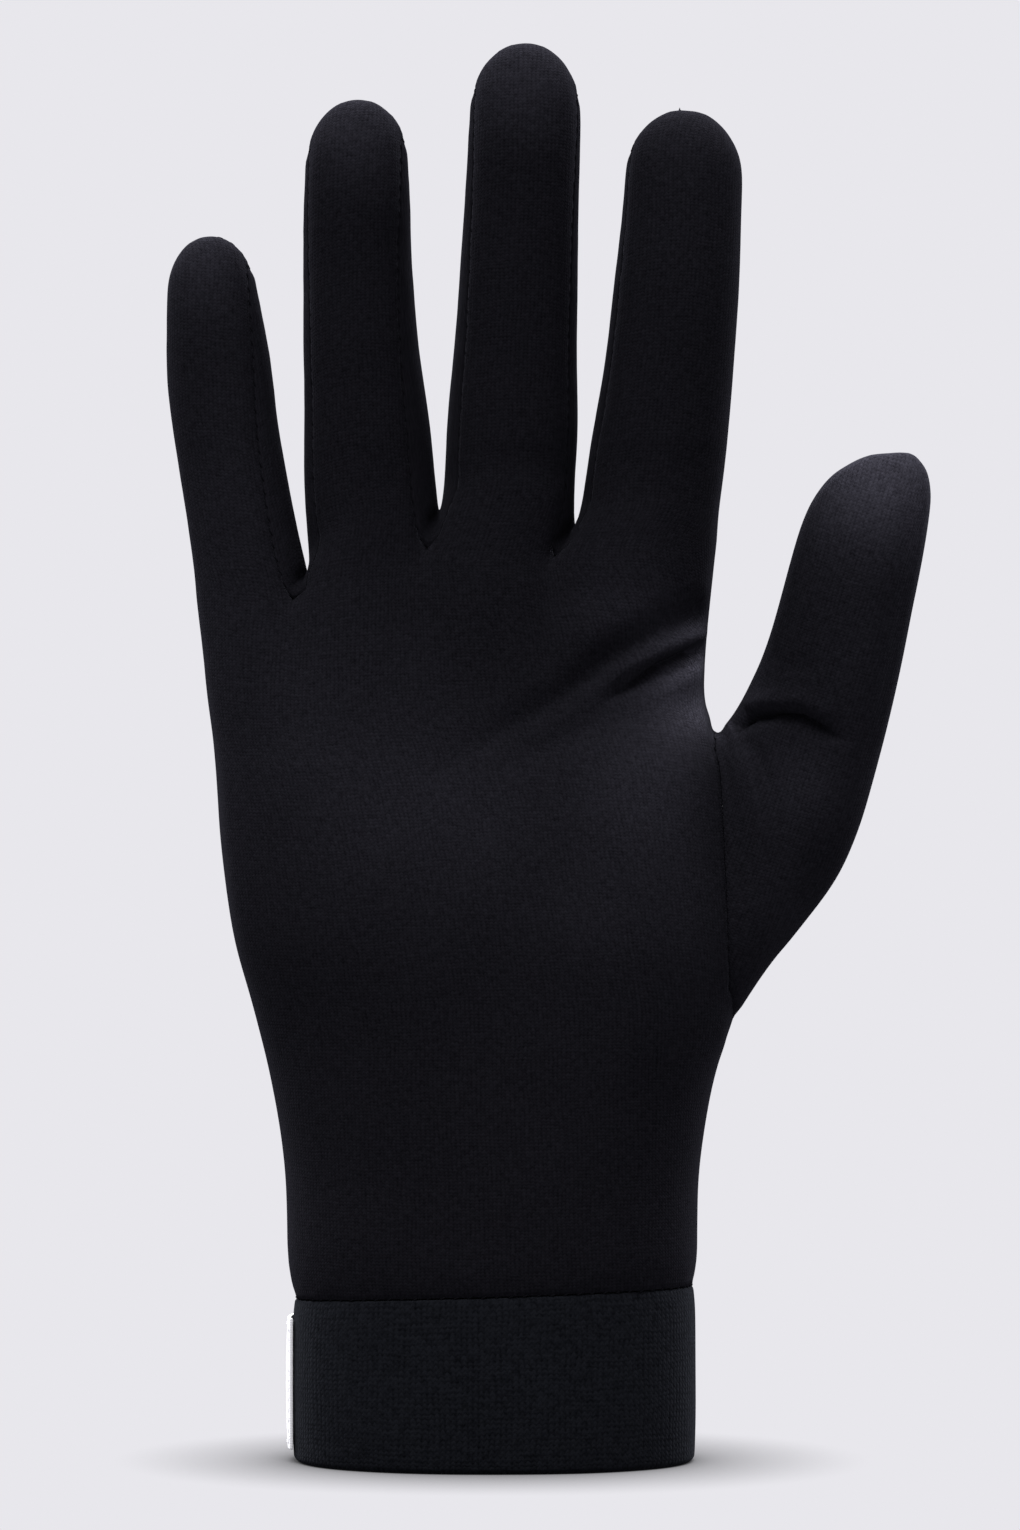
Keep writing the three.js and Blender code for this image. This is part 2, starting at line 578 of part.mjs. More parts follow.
// A mesh from points and faces of three or four corners.
function makeMesh(name, corners, polygons, material) {
  const geometry = new THREE.BufferGeometry();
  const place = corners.flatMap((point) => [point.x, point.y, point.z]);
  const triangles = polygons.flatMap((face) =>
    face.slice(2).flatMap((corner, turn) => [face[0], face[turn + 1], corner]),
  );
  geometry.setAttribute("position", new THREE.Float32BufferAttribute(place, 3));
  geometry.setIndex(triangles);
  geometry.computeVertexNormals();
  const mesh = new THREE.Mesh(geometry, material);
  mesh.name = name;
  return mesh;
}

// The edges of a sheet that only one of its faces has, as [from, to] pairs.
function rimEdges(sheet) {
  const sides = (face) => face.map((from, turn) => [from, face[(turn + 1) % face.length]]);
  const edges = sheet.flatMap(sides);
  const present = new Set(edges.map(([from, to]) => `${from} ${to}`));
  return edges.filter(([from, to]) => !present.has(`${to} ${from}`));
}

// The wall under one rim edge. It is split along the same diagonal as the wall that faces it
// across the seam, so that two twisted walls stay apart.
function rimWall(from, to, local, count) {
  const [start, end] = [local.get(from), local.get(to)];
  if (to < from) return [end, start, start + count, end + count];
  return [start, start + count, end + count, end];
}

// A face with its corners in the other order, for the far side of a wall.
function turned(face) {
  return [face[0], ...face.slice(1).toReversed()];
}

// A sheet of cloth given its wall: the outer face is drawn back from its seams by half the gap.
function clothPiece(name, material) {
  const sheet = faces.get(name);
  const rim = rimEdges(sheet);
  const pulls = new Map();
  for (const [from, to] of rim) {
    const along = points[to].clone().sub(points[from]).normalize();
    for (const index of [from, to]) {
      const inwards = outward[index].clone().cross(along).normalize();
      pulls.set(index, [...(pulls.get(index) ?? []), inwards]);
    }
  }
  const used = [...new Set(sheet.flat())];
  const local = new Map(used.map((index, order) => [index, order]));
  const outer = used.map((index) => {
    const point = points[index].clone();
    if (!pulls.has(index)) return point;
    const [first, second] = pulls.get(index);
    const reach = SEAM_GAP / 2 / Math.max(1 + first.dot(second), 0.2);
    return point.addScaledVector(first, reach).addScaledVector(second, reach);
  });
  const inner = used.map((index, order) => {
    return outer[order].clone().addScaledVector(outward[index], -CLOTH);
  });
  const count = used.length;
  const polygons = [
    ...sheet.map((face) => face.map((index) => local.get(index))),
    ...sheet.map((face) => turned(face).map((index) => local.get(index) + count)),
    ...rim.map(([from, to]) => rimWall(from, to, local, count)),
  ];
  return makeMesh(name, [...outer, ...inner], polygons, material);
}

// The cuff's outline at its columns, drawn in by a distance all round.
function cuffPoint(column, inset, height) {
  const section = handSection(CUFF_HEIGHT);
  const scale_x = 1 - inset / section.half;
  const scale_y = 1 - inset / section.front;
  const plan = sectionPoint(section, column, evenShare(column));
  return new THREE.Vector3(plan.x * scale_x, plan.y * scale_y, height);
}

// The doubled band: up its outer face, over the seam edge, down its inner face and round the fold.
function cuffBand(material) {
  const outer_rows = [0, 0.3, 0.6, 0.9, 1];
  const fold_turns = [45, 90, 135];
  const radius = CUFF_WALL / 2;
  const profile = (column) => {
    const seam_x = cuffPoint(column, CUFF_PINCH, 0).x;
    const top = seamHeight(seam_x) - SEAM_GAP;
    const pinch = (share) => CUFF_PINCH * (share === 1 ? 1 : 0);
    const heights = outer_rows.map((share) => ({ share, height: mix(radius, top, share) }));
    const outer = heights.map((row) => cuffPoint(column, pinch(row.share), row.height));
    const inner = heights.map((row) => cuffPoint(column, CUFF_WALL + pinch(row.share), row.height));
    const fold = fold_turns.map((turn) => {
      const inset = radius + radius * Math.cos(radians(turn));
      return cuffPoint(column, inset, radius - radius * Math.sin(radians(turn)));
    });
    return [...outer, ...inner.toReversed(), ...fold];
  };
  const columns = Array.from({ length: HAND_RING }, (_, column) => profile(column));
  const rows = columns[0].length;
  const polygons = columns.flatMap((_, column) => {
    const next = (column + 1) % HAND_RING;
    return Array.from({ length: rows }, (__, row) => {
      const up = (row + 1) % rows;
      return [column * rows + row, next * rows + row, next * rows + up, column * rows + up];
    });
  });
  return makeMesh("cuff", columns.flat(), polygons, material);
}

// The cuff's outline at a distance round it, from its outermost line on the little-finger side
// towards the back, with the way out of it.
function cuffOutline(distance) {
  const section = handSection(CUFF_HEIGHT);
  const place = (turn) => {
    const round = rounded(turn, section.square);
    return new THREE.Vector2(section.half * round.across, -section.front * round.forward);
  };
  const small = radians(0.5);
  const step = small * Math.sign(distance);
  let turn = Math.PI;
  let walked = 0;
  while (walked < Math.abs(distance)) {
    walked += place(turn + step).distanceTo(place(turn));
    turn += step;
  }
  const point = place(turn);
  const along = place(turn + small).sub(place(turn - small)).normalize();
  return { point, out: new THREE.Vector2(-along.y, along.x) };
}

// The label: a bare patch sewn down at its edges, bowed off the cuff between them.
function labelPatch(material) {
  const columns = 8;
  const rows = 6;
  const layer = (lift) =>
    Array.from({ length: (columns + 1) * (rows + 1) }, (_, index) => {
      const across = (index % (columns + 1)) / columns;
      const up = Math.floor(index / (columns + 1)) / rows;
      const { point, out } = cuffOutline(across * LABEL_WIDTH - LABEL_FRONT);
      const bow = LABEL_BOW * (1 - (2 * across - 1) ** 2) * (1 - (2 * up - 1) ** 2);
      const plan = point.addScaledVector(out, SEAM_GAP + lift + bow);
      return new THREE.Vector3(plan.x, plan.y, LABEL_LIFT + up * LABEL_HEIGHT);
    });
  const sheet = Array.from({ length: columns * rows }, (_, index) => {
    const corner = (index % columns) + Math.floor(index / columns) * (columns + 1);
    return [corner, corner + columns + 1, corner + columns + 2, corner + 1];
  });
  const outer = layer(LABEL_THICKNESS);
  const inner = layer(0);
  const count = outer.length;
  const polygons = [
    ...sheet,
    ...sheet.map((face) => turned(face).map((index) => index + count)),
    ...rimEdges(sheet).map(([from, to]) => [to, from, from + count, to + count]),
  ];
  return makeMesh("side_label", [...outer, ...inner], polygons, material);
}

const jersey = (color) => new THREE.MeshStandardMaterial({ color, roughness: 0.92, metalness: 0 });

const glove = new THREE.Group();
glove.name = "glove_liner";
glove.add(clothPiece("palm_panel", jersey(0x15151b)));
glove.add(clothPiece("back_panel", jersey(0x141419)));
for (const gore of GORES) glove.add(clothPiece(gore.name, jersey(0x111116)));
glove.add(clothPiece("thumb", jersey(0x16161c)));
glove.add(cuffBand(jersey(0x15171b)));
const tape = new THREE.MeshStandardMaterial({ color: 0x9a9ba0, roughness: 0.8, metalness: 0 });
glove.add(labelPatch(tape));

export default glove;
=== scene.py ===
"""A thin knitted glove liner for the right hand, worn full and standing on its cuff.

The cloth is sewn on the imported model's own sizes. Lengths in the classes are millimetres and
a finished mesh is scaled to metres. +Z runs up the fingers, the palm faces -Y and the thumb
is on +X.
"""
import logging
import math
from dataclasses import dataclass, field
from enum import Enum, IntEnum
from typing import Callable, Iterable, Sequence

import bmesh
import bpy
from bmesh.types import BMEdge, BMesh, BMFace, BMVert
from bpy.types import ID, Material, Node, NodeSocket, Object
from mathutils import Matrix, Vector, kdtree, noise


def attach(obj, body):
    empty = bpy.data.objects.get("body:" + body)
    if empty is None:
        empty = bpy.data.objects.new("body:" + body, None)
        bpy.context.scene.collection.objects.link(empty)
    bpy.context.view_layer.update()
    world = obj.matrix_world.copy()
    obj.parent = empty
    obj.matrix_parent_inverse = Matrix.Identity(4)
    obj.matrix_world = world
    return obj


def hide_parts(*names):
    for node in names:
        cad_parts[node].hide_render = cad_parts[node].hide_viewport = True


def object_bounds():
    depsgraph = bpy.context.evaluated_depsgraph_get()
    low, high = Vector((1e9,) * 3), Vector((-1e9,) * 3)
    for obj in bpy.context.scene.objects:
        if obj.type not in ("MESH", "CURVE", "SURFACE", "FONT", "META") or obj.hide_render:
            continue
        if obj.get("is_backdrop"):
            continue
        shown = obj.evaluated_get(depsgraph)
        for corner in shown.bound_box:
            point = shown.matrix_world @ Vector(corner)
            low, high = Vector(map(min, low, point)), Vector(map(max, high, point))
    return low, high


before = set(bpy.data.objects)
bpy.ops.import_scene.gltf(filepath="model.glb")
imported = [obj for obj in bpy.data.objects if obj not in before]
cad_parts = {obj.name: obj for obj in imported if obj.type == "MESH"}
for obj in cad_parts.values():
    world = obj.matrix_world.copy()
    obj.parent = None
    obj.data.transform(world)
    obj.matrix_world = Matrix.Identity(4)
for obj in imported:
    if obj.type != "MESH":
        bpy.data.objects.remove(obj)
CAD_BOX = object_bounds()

LOG = logging.getLogger("glove_liner")
MM = 0.001
BODY = "root"

# The photograph's frame, in its own pixels, and the camera that took it.
PHOTO_WIDTH = 1020
PHOTO_HEIGHT = 1530
CAMERA_PLACE = Vector((2.7, -1050.0, 117.9))
PHOTO_SCALE = 0.1697  # millimetres of the plane y = 0 in one pixel
SENSOR = 36.0

# Rows and columns of the coarse sheet. A finger's ring has FRONT columns on the palm side, SIDE
# on each side and FRONT on the back, and the hand has four fingers' fronts side by side.
FRONT = 6
SIDE = 4
FINGER_COUNT = 4
RING = 2 * (FRONT + SIDE)
HAND_FRONT = FRONT * FINGER_COUNT
HAND_RING = 2 * (HAND_FRONT + SIDE)
BACK_MIDDLE = HAND_FRONT * 1.5 + SIDE
THUMB_FRONT = 10
# A vertex of the cloth moves along it by no more than this share of its shortest edge.
MOVE_SHARE = 0.3
PALM_GAIN = 1.6  # how soon a face that turns to the palm's side counts as full
TINY = 1e-6
CLOTH = "cloth"  # the layer of cloth coordinates
PAINTED_LIGHT = "painted_light"  # the attribute of painted light: how much lighter the knit's colour is painted where light falls


class Panel(IntEnum):
    """The pieces that the cloth is cut into, numbered as their material slots are."""

    PALM = 0
    BACK = 1
    GORE_LITTLE_RING = 2
    GORE_RING_MIDDLE = 3
    GORE_MIDDLE_INDEX = 4
    THUMB = 5


GORES = (Panel.GORE_LITTLE_RING, Panel.GORE_RING_MIDDLE, Panel.GORE_MIDDLE_INDEX)


class Slot(Enum):
    """The record's material slots."""

    JERSEY = "jersey"
    CUFF = "cuff_knit"
    LABEL = "label_tape"


class Seam(Enum):
    """The sorts of seam in the body."""

    CUFF = "cuff"
    GORE = "gore"
    OUTER = "outer"
    THUMB = "thumb"


def clamp(value: float, low: float, high: float) -> float:
    """The value, held between low and high."""
    return max(low, min(high, value))


def mix(first: float, second: float, share: float) -> float:
    """The value a share of the way from first to second."""
    return first + (second - first) * share


def smooth(value: float) -> float:
    """An even rise from 0 to 1, flat at both ends."""
    value = clamp(value, 0.0, 1.0)
    return value * value * (3 - 2 * value)


def signed_power(value: float, power: float) -> float:
    """The value's size raised to a power, with its sign kept."""
    return math.copysign(abs(value) ** power, value)


def bell(distance: float, reach: float) -> float:
    """A soft peak, 1 in its middle and nearly 0 from twice its reach."""
    return math.exp(-((distance / reach) ** 2))


def squarish(angle: float, square: float) -> tuple[float, float]:
    """A point of a rounded outline: its shares across and towards the palm."""
    return signed_power(math.cos(angle), 2 / square), signed_power(math.sin(angle), 2 / square)


def palm_side(normal: Vector) -> float:
    """How fully a place faces the palm's side, from 0 to 1."""
    return smooth(-PALM_GAIN * normal.y)


def around(items: Sequence) -> Iterable[tuple]:
    """Each item of a closed ring with the one after it."""
    return zip(items, [*items[1:], items[0]])


@dataclass(frozen=True)
class Table:
    """Values that change smoothly along a place, one column each.

    Args:
        names: The columns' names, the place first.
        rows: The values, in order of place.
    """

    names: str
    rows: tuple[tuple[float, ...], ...]

    def column(self, name: str) -> list[float]:
        """All values of one column."""
        index = self.names.split().index(name)
        return [row[index] for row in self.rows]

    def read(self, name: str, at: float, scale: str | None = None) -> float:
        """A column's value at any place, on a smooth curve through its rows.

        Args:
            name: The column.
            at: The place.
            scale: A second column that multiplies the first, where there is one.

        Returns:
            The value, held at the first and last rows beyond them.
        """
        places = self.column(self.names.split()[0])
        values = self.column(name)
        if scale:
            values = [value * size for value, size in zip(values, self.column(scale))]
        last = len(places) - 1
        at = clamp(at, places[0], places[last])
        row = 0
        while row < last - 1 and at > places[row + 1]:
            row += 1

        def slope(index: int) -> float:
            """The curve's slope at one row."""
            low, high = max(index - 1, 0), min(index + 1, last)
            return (values[high] - values[low]) / (places[high] - places[low])

        span = places[row + 1] - places[row]
        share = (at - places[row]) / span
        rise = values[row + 1] - values[row]
        start = slope(row) * span - rise
        end = rise - slope(row + 1) * span
        bend = share * (1 - share) * (start * (1 - share) + end * share)
        return values[row] + rise * share + bend


@dataclass(frozen=True)
class HandSection:
    """The outline of the hand at one height."""

    middle: float
    half: float
    front: float
    back: float
    thenar: float
    heel: float
    hollow: float
    square: float


@dataclass(frozen=True)
class Finger:
    """One finger in the plane of the hand, where a point's y is its height.

    Args:
        index: Its number, from the little finger.
        length: Its length beyond its root.
        bow: How far it bends aside, as a share of its length.
        tip: How blunt its tip is.
        along: The way that it points.
        across: The way across it, towards the thumb.
        root: The middle between its forks.
        half: Half its width there.
        tilt: How much higher its right fork is, as a share of its length.
    """

    index: int
    length: float
    bow: float
    tip: float
    along: Vector
    across: Vector
    root: Vector
    half: float
    tilt: float


@dataclass
class HandForm:
    """The outer face of the cloth over a hand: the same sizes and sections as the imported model."""

    cuff_width: float = 68.2
    cuff_depth: float = 46.0
    cuff_height: float = 28.6
    cuff_seam_rise: float = 2.2
    cuff_seam_lift: float = 0.9
    cuff_wall: float = 2.4
    cuff_pinch: float = 0.3
    palm_depth: float = 30.0
    hand_length: float = 132.3
    finger_widths: tuple[float, ...] = (19.4, 22.1, 23.1, 24.1)
    finger_lengths: tuple[float, ...] = (59.2, 75.1, 80.5, 71.9)
    finger_leans: tuple[float, ...] = (-7.2, -2.3, 2.4, 5.4)
    finger_bows: tuple[float, ...] = (-0.02, -0.0135, 0.002, 0.0165)
    finger_tips: tuple[float, ...] = (1.7, 2.2, 2.2, 1.85)
    finger_square: float = 2.15
    finger_curl: float = 0.06
    curl_power: float = 1.6
    side_corner: float = 45.0
    back_corner: float = 38.0
    gore_end: float = 0.96
    gore_least: float = 0.17
    fork_drop: float = 6.0
    fork_depth: float = 0.82
    fork_back: tuple[float, float] = (1.5, -0.1)
    thumb_foot: float = 49.9
    thumb_seam: float = 41.1
    thumb_seam_dip: float = 5.5
    thumb_seam_rise: float = 3.2
    dip_reach: float = 0.07
    rise_reach: float = 0.05
    thumb_seam_line: tuple[tuple[float, float], ...] = ((39.3, 77.5), (37.0, 119.5))
    seam_line_fade: tuple[tuple[float, float], ...] = ((-0.25, 0.3), (1.2, 0.25))
    seam_line_hold: tuple[float, float] = (-0.2, 1.1)
    thumb_reach: float = 36.0
    thumb_length: float = 46.8
    thumb_depth: float = 20.0
    thumb_forward: float = 14.0
    thumb_square: float = 2.25
    thumb_tip_out: float = 0.79
    thumb_foot_offset: Vector = field(default_factory=lambda: Vector((8.0, 0.0, -18.0)))
    edge: float = 0.05
    root_blend: float = 0.22
    seam_pucker: float = 0.022
    seam_reach: int = 5
    dome_start: float = 0.85
    forks: list[Vector] = field(init=False)
    fingers: list[Finger] = field(init=False)

    sections = Table(
        "up width little thumb depth front back thenar heel hollow square",
        (
            (0, 68.2, -0.5, 0.5, 46, 0.5, 0.5, 0, 0, 0, 2.2),
            (0.05, 68.2, -0.513, 0.505, 46, 0.51, 0.5, 0, 0, 0, 2.2),
            (0.16, 68.2, -0.522, 0.513, 46, 0.48, 0.46, 0.02, 0.01, 0, 2.2),
            (0.27, 68.2, -0.555, 0.547, 46, 0.44, 0.42, 0.06, 0.05, 0, 2.3),
            (0.366, 88.7, -0.462, 0.466, 30, 0.61, 0.6, 0.12, 0.09, 0.01, 2.5),
            (0.46, 88.7, -0.5, 0.487, 30, 0.57, 0.56, 0.2, 0.12, 0.03, 2.9),
            (0.575, 88.7, -0.523, 0.484, 30, 0.54, 0.53, 0.21, 0.13, 0.06, 3),
            (0.66, 88.7, -0.533, 0.46, 30, 0.52, 0.51, 0.17, 0.12, 0.07, 2.9),
            (0.715, 88.7, -0.54, 0.429, 30, 0.5, 0.5, 0.11, 0.1, 0.06, 2.7),
            (0.757, 88.7, -0.547, 0.405, 30, 0.49, 0.495, 0.07, 0.09, 0.05, 2.5),
            (0.83, 88.7, -0.554, 0.405, 30, 0.47, 0.48, 0.03, 0.06, 0.03, 2.4),
            (0.91, 88.7, -0.565, 0.415, 30, 0.43, 0.44, 0, 0.02, 0.01, 2.3),
            (1, 88.7, -0.572, 0.43, 30, 0.39, 0.4, 0, 0, 0, 2.2),
        ),
    )
    swellings = {"thenar": (0.6, 0.5), "heel": (-0.6, 0.45), "hollow": (0.0, 0.4)}
    taper = Table(
        "along little ring middle index depth",
        (
            (0, 1, 1, 1, 1, 0.96),
            (0.06, 0.967, 0.985, 0.962, 0.972, 0.95),
            (0.2, 0.935, 0.965, 0.953, 0.95, 0.93),
            (0.4, 0.918, 0.88, 0.89, 0.905, 0.92),
            (0.6, 0.915, 0.824, 0.845, 0.873, 0.92),
            (0.75, 0.842, 0.808, 0.822, 0.838, 0.89),
            (0.85, 0.778, 0.778, 0.808, 0.818, 0.85),
        ),
    )
    gores = Table(
        "index up drop aside near far",
        (
            (0, 0.918, 0.73, -0.5, 60, 32),
            (1, 1, 1.2, -0.4, 52, 36),
            (2, 0.98, 0.92, -0.72, 30, 24),
        ),
    )
    thumb_sections = Table(
        "row in_out in_up out_out out_up depth forward",
        (
            (0, 0.025, 0.02, 0.234, -0.858, 1.16, 0.12),
            (1, 0.052, 0.04, 0.393, -0.706, 1.14, 0.18),
            (2, 0.082, 0.072, 0.549, -0.543, 1.11, 0.26),
            (3, 0.118, 0.12, 0.654, -0.364, 1.07, 0.35),
            (4, 0.157, 0.182, 0.728, -0.167, 1.03, 0.45),
            (5, 0.2, 0.258, 0.794, 0.025, 1, 0.55),
            (6, 0.245, 0.362, 0.846, 0.214, 0.99, 0.65),
            (7, 0.285, 0.476, 0.892, 0.404, 0.98, 0.75),
            (8, 0.33, 0.605, 0.936, 0.575, 0.95, 0.84),
            (9, 0.384, 0.74, 0.97, 0.746, 0.87, 0.92),
            (10, 0.447, 0.841, 0.98, 0.852, 0.74, 0.96),
            (11, 0.54, 0.925, 0.955, 0.939, 0.52, 0.98),
            (12, 0.67, 0.98, 0.89, 0.989, 0.26, 1),
        ),
    )
    finger_names = ("little", "ring", "middle", "index")

    def __post_init__(self) -> None:
        """Places the forks and the fingers from the widths and lengths."""
        palm_width = sum(self.finger_widths)
        left_edge = self.sections.rows[-1][2] * palm_width
        self.forks = [
            Vector((left_edge + sum(self.finger_widths[: index + 1]), self.height_at(up)))
            for index, up in enumerate(self.gores.column("up"))
        ]
        self.fingers = [self._finger(index) for index in range(FINGER_COUNT)]

    def _finger(self, index: int) -> Finger:
        """One finger between its forks, or beside its only one.

        Args:
            index: Its number, from the little finger.

        Returns:
            The finger.
        """
        lean = math.radians(self.finger_leans[index])
        along = Vector((math.sin(lean), math.cos(lean)))
        across = Vector((math.cos(lean), -math.sin(lean)))
        width, length = self.finger_widths[index], self.finger_lengths[index]
        left = self.forks[index - 1] if index else self.forks[0] - across * width
        right = self.forks[index] if index < len(self.forks) else left + across * width
        root = (left + right) / 2
        half = (right - left).dot(across) / 2
        tilt = (right - root).dot(along) / length
        bow, tip = self.finger_bows[index], self.finger_tips[index]
        return Finger(index, length, bow, tip, along, across, root, half, tilt)

    def height_at(self, up: float) -> float:
        """The height of a share of the hand's length above the cuff seam."""
        return self.cuff_height + up * self.hand_length

    def section(self, height: float) -> HandSection:
        """The hand's outline at one height.

        Args:
            height: The height above the cuff's end.

        Returns:
            The outline.
        """
        up = (height - self.cuff_height) / self.hand_length
        read = self.sections.read
        left, right = read("little", up, "width"), read("thumb", up, "width")
        return HandSection(
            middle=(left + right) / 2,
            half=(right - left) / 2,
            front=read("front", up, "depth"),
            back=read("back", up, "depth"),
            thenar=read("thenar", up) * self.palm_depth,
            heel=read("heel", up) * self.palm_depth,
            hollow=read("hollow", up) * self.palm_depth,
            square=read("square", up),
        )

    def swelling(self, section: HandSection, across: float) -> float:
        """How far the palm swells out at one place across it, fading towards its edges.

        Args:
            section: The outline there.
            across: The place, from -1 at the little finger's edge to 1 at the thumb's.

        Returns:
            The distance.
        """

        def part(name: str, size: float) -> float:
            """One swelling, or the dip between two."""
            centre, reach = self.swellings[name]
            return size * bell(across - centre, reach)

        swell = part("thenar", section.thenar) + part("heel", section.heel)
        return (1 - across**4) * (swell - part("hollow", section.hollow))

    def finger_half(self, finger: Finger, share: float) -> float:
        """Half the finger's width, with the rounded tip.

        Args:
            finger: The finger.
            share: The share of its length.

        Returns:
            The distance.
        """
        width = self.taper.read(self.finger_names[finger.index], share)
        dome = max(share - self.dome_start, 0) / (1 - self.dome_start)
        return finger.half * width * math.sqrt(max(1 - dome**finger.tip, 0))

    def finger_edge(self, finger: Finger, share: float, side: int) -> Vector:
        """A point of the finger's left or right edge.

        Args:
            finger: The finger.
            share: The share of its length.
            side: -1 for the left edge, 1 for the right.

        Returns:
            The point in the plane of the hand.
        """
        along = mix(finger.tilt * side, 1, share) * finger.length
        bow = finger.bow * finger.length * math.sin(math.pi * share)
        aside = side * self.finger_half(finger, share) + bow
        return finger.root + finger.along * along + finger.across * aside

    def finger_point(self, finger: Finger, share: float, angle: float) -> Vector:
        """A point of the finger's ring.

        Args:
            finger: The finger.
            share: The share of its length.
            angle: The way round it, from the thumb's side over the palm.

        Returns:
            The point.
        """
        left = self.finger_edge(finger, share, -1)
        right = self.finger_edge(finger, share, 1)
        across, forward = squarish(angle, self.finger_square)
        plan = left.lerp(right, (1 + across) / 2)
        depth = self.finger_half(finger, share) * self.taper.read("depth", share)
        curl = self.finger_curl * finger.length * share**self.curl_power
        return Vector((plan.x, -curl - depth * forward, plan.y))

    def finger_angles(self, finger: Finger, share: float) -> list[float]:
        """The angles of all columns of the finger's ring, whose corners follow the gores.

        Args:
            finger: The finger.
            share: The share of its length.

        Returns:
            The angles in radians.
        """
        narrow = max(math.sqrt(max(1 - (share / self.gore_end) ** 2, 0)), self.gore_least)
        has_left, has_right = finger.index > 0, finger.index < len(self.forks)
        gores = self.gores
        far = gores.column("far")[finger.index - 1] * narrow if has_left else self.side_corner
        near = gores.column("near")[finger.index] * narrow if has_right else self.side_corner
        right_back = -self.back_corner * (narrow if has_right else 1)
        left_back = -180 + self.back_corner * (narrow if has_left else 1)
        return ring_angles((180 - far, near, right_back, left_back), FRONT)

    def fork_point(self, index: int, share: float) -> Vector:
        """A point of a gore's lowest line.

        Args:
            index: The gore.
            share: The share of the line, from its foot on the palm to the one behind.

        Returns:
            The point.
        """
        fork = self.forks[index]
        turn = (1 - 2 * share) ** 2
        drop, aside = self.fork_back
        if share < 0.5:
            drop, aside = self.gores.column("drop")[index], self.gores.column("aside")[index]
        half = (self.fingers[index].half + self.fingers[index + 1].half) / 2
        depth = self.fork_depth * self.taper.column("depth")[0] * half
        place = (fork.x + self.fork_drop * aside * turn, depth * (2 * share - 1))
        return Vector((*place, fork.y - self.fork_drop * drop * turn))

    def top_point(self, column: int) -> Vector:
        """A point of the hand's top ring, which the four fingers' lowest rings share.

        Args:
            column: The column.

        Returns:
            The point.
        """
        if HAND_FRONT < column < HAND_FRONT + SIDE:
            angles = self.finger_angles(self.fingers[3], 0)
            return self.finger_point(self.fingers[3], 0, angles[FRONT + column - HAND_FRONT])
        if column > HAND_RING - SIDE:
            angles = self.finger_angles(self.fingers[0], 0)
            return self.finger_point(self.fingers[0], 0, angles[RING - HAND_RING + column])
        behind = column > HAND_FRONT
        place = column - HAND_FRONT - SIDE if behind else column
        order = min(place // FRONT, FINGER_COUNT - 1)
        finger = self.fingers[FINGER_COUNT - 1 - order if behind else order]
        step = place - order * FRONT
        angles = self.finger_angles(finger, 0)[FRONT + SIDE if behind else 0 :]

        def foot(side: int) -> Vector:
            """How far the gore's foot on one side lies off the plain ring."""
            gore = finger.index if side > 0 else finger.index - 1
            if not 0 <= gore < len(self.forks):
                return Vector((0, 0, 0))
            angle = angles[0 if (side > 0) == behind else FRONT]
            return self.fork_point(gore, 1 if behind else 0) - self.finger_point(finger, 0, angle)

        shift = foot(1 if behind else -1).lerp(foot(-1 if behind else 1), step / FRONT)
        return self.finger_point(finger, 0, angles[step]) + shift

    def seam_height(self, x: float, y: float = 0.0) -> float:
        """The height of the cuff seam, which rises towards the thumb and towards the palm."""
        lift = self.cuff_seam_lift * max(-2 * y / self.cuff_depth, 0)
        return self.cuff_height + self.cuff_seam_rise * x / self.cuff_width + lift

    def section_point(self, section: HandSection, column: float, across: float) -> Vector:
        """A point (x, y) of the hand's outline.

        Args:
            section: The outline.
            column: The column, counted from the little finger's side over the palm.
            across: The share of the width, used on the palm and on the back.

        Returns:
            The point, with the palm's swellings.
        """
        on_right = HAND_FRONT < column < HAND_FRONT + SIDE
        on_left = column > HAND_RING - SIDE
        if on_right or on_left:
            corner = math.acos((1 - 2 * self.edge) ** (section.square / 2))
            step = (column - (HAND_FRONT if on_right else HAND_RING - SIDE)) / SIDE
            aside, forward = squarish(mix(corner, -corner, step if on_right else 1 - step), section.square)
            depth = section.front if forward > 0 else section.back
            x = section.middle + (1 if on_right else -1) * section.half * aside
            return Vector((x, -depth * forward))
        place = 2 * across - 1
        full = (1 - abs(place) ** section.square) ** (1 / section.square)
        palm = -section.front * full - self.swelling(section, place)
        y = palm if column <= HAND_FRONT else section.back * full
        return Vector((section.middle + section.half * place, y))

    def even_share(self, column: float) -> float:
        """The share of the width at a column of evenly spaced ones.

        Args:
            column: The column, on the palm or on the back.

        Returns:
            The share, from the little finger's side.
        """
        step = column / HAND_FRONT
        if column > HAND_FRONT:
            step = 1 - (column - HAND_FRONT - SIDE) / HAND_FRONT
        return mix(self.edge, 1 - self.edge, step)

    def opening(self) -> tuple[float, float]:
        """The thumb opening's start and end, as shares of the way up to the fingers."""
        side = self.top_point(HAND_FRONT).z - self.seam_height(self.cuff_width / 2)
        return self.thumb_foot / side, (self.thumb_foot + self.thumb_seam) / side

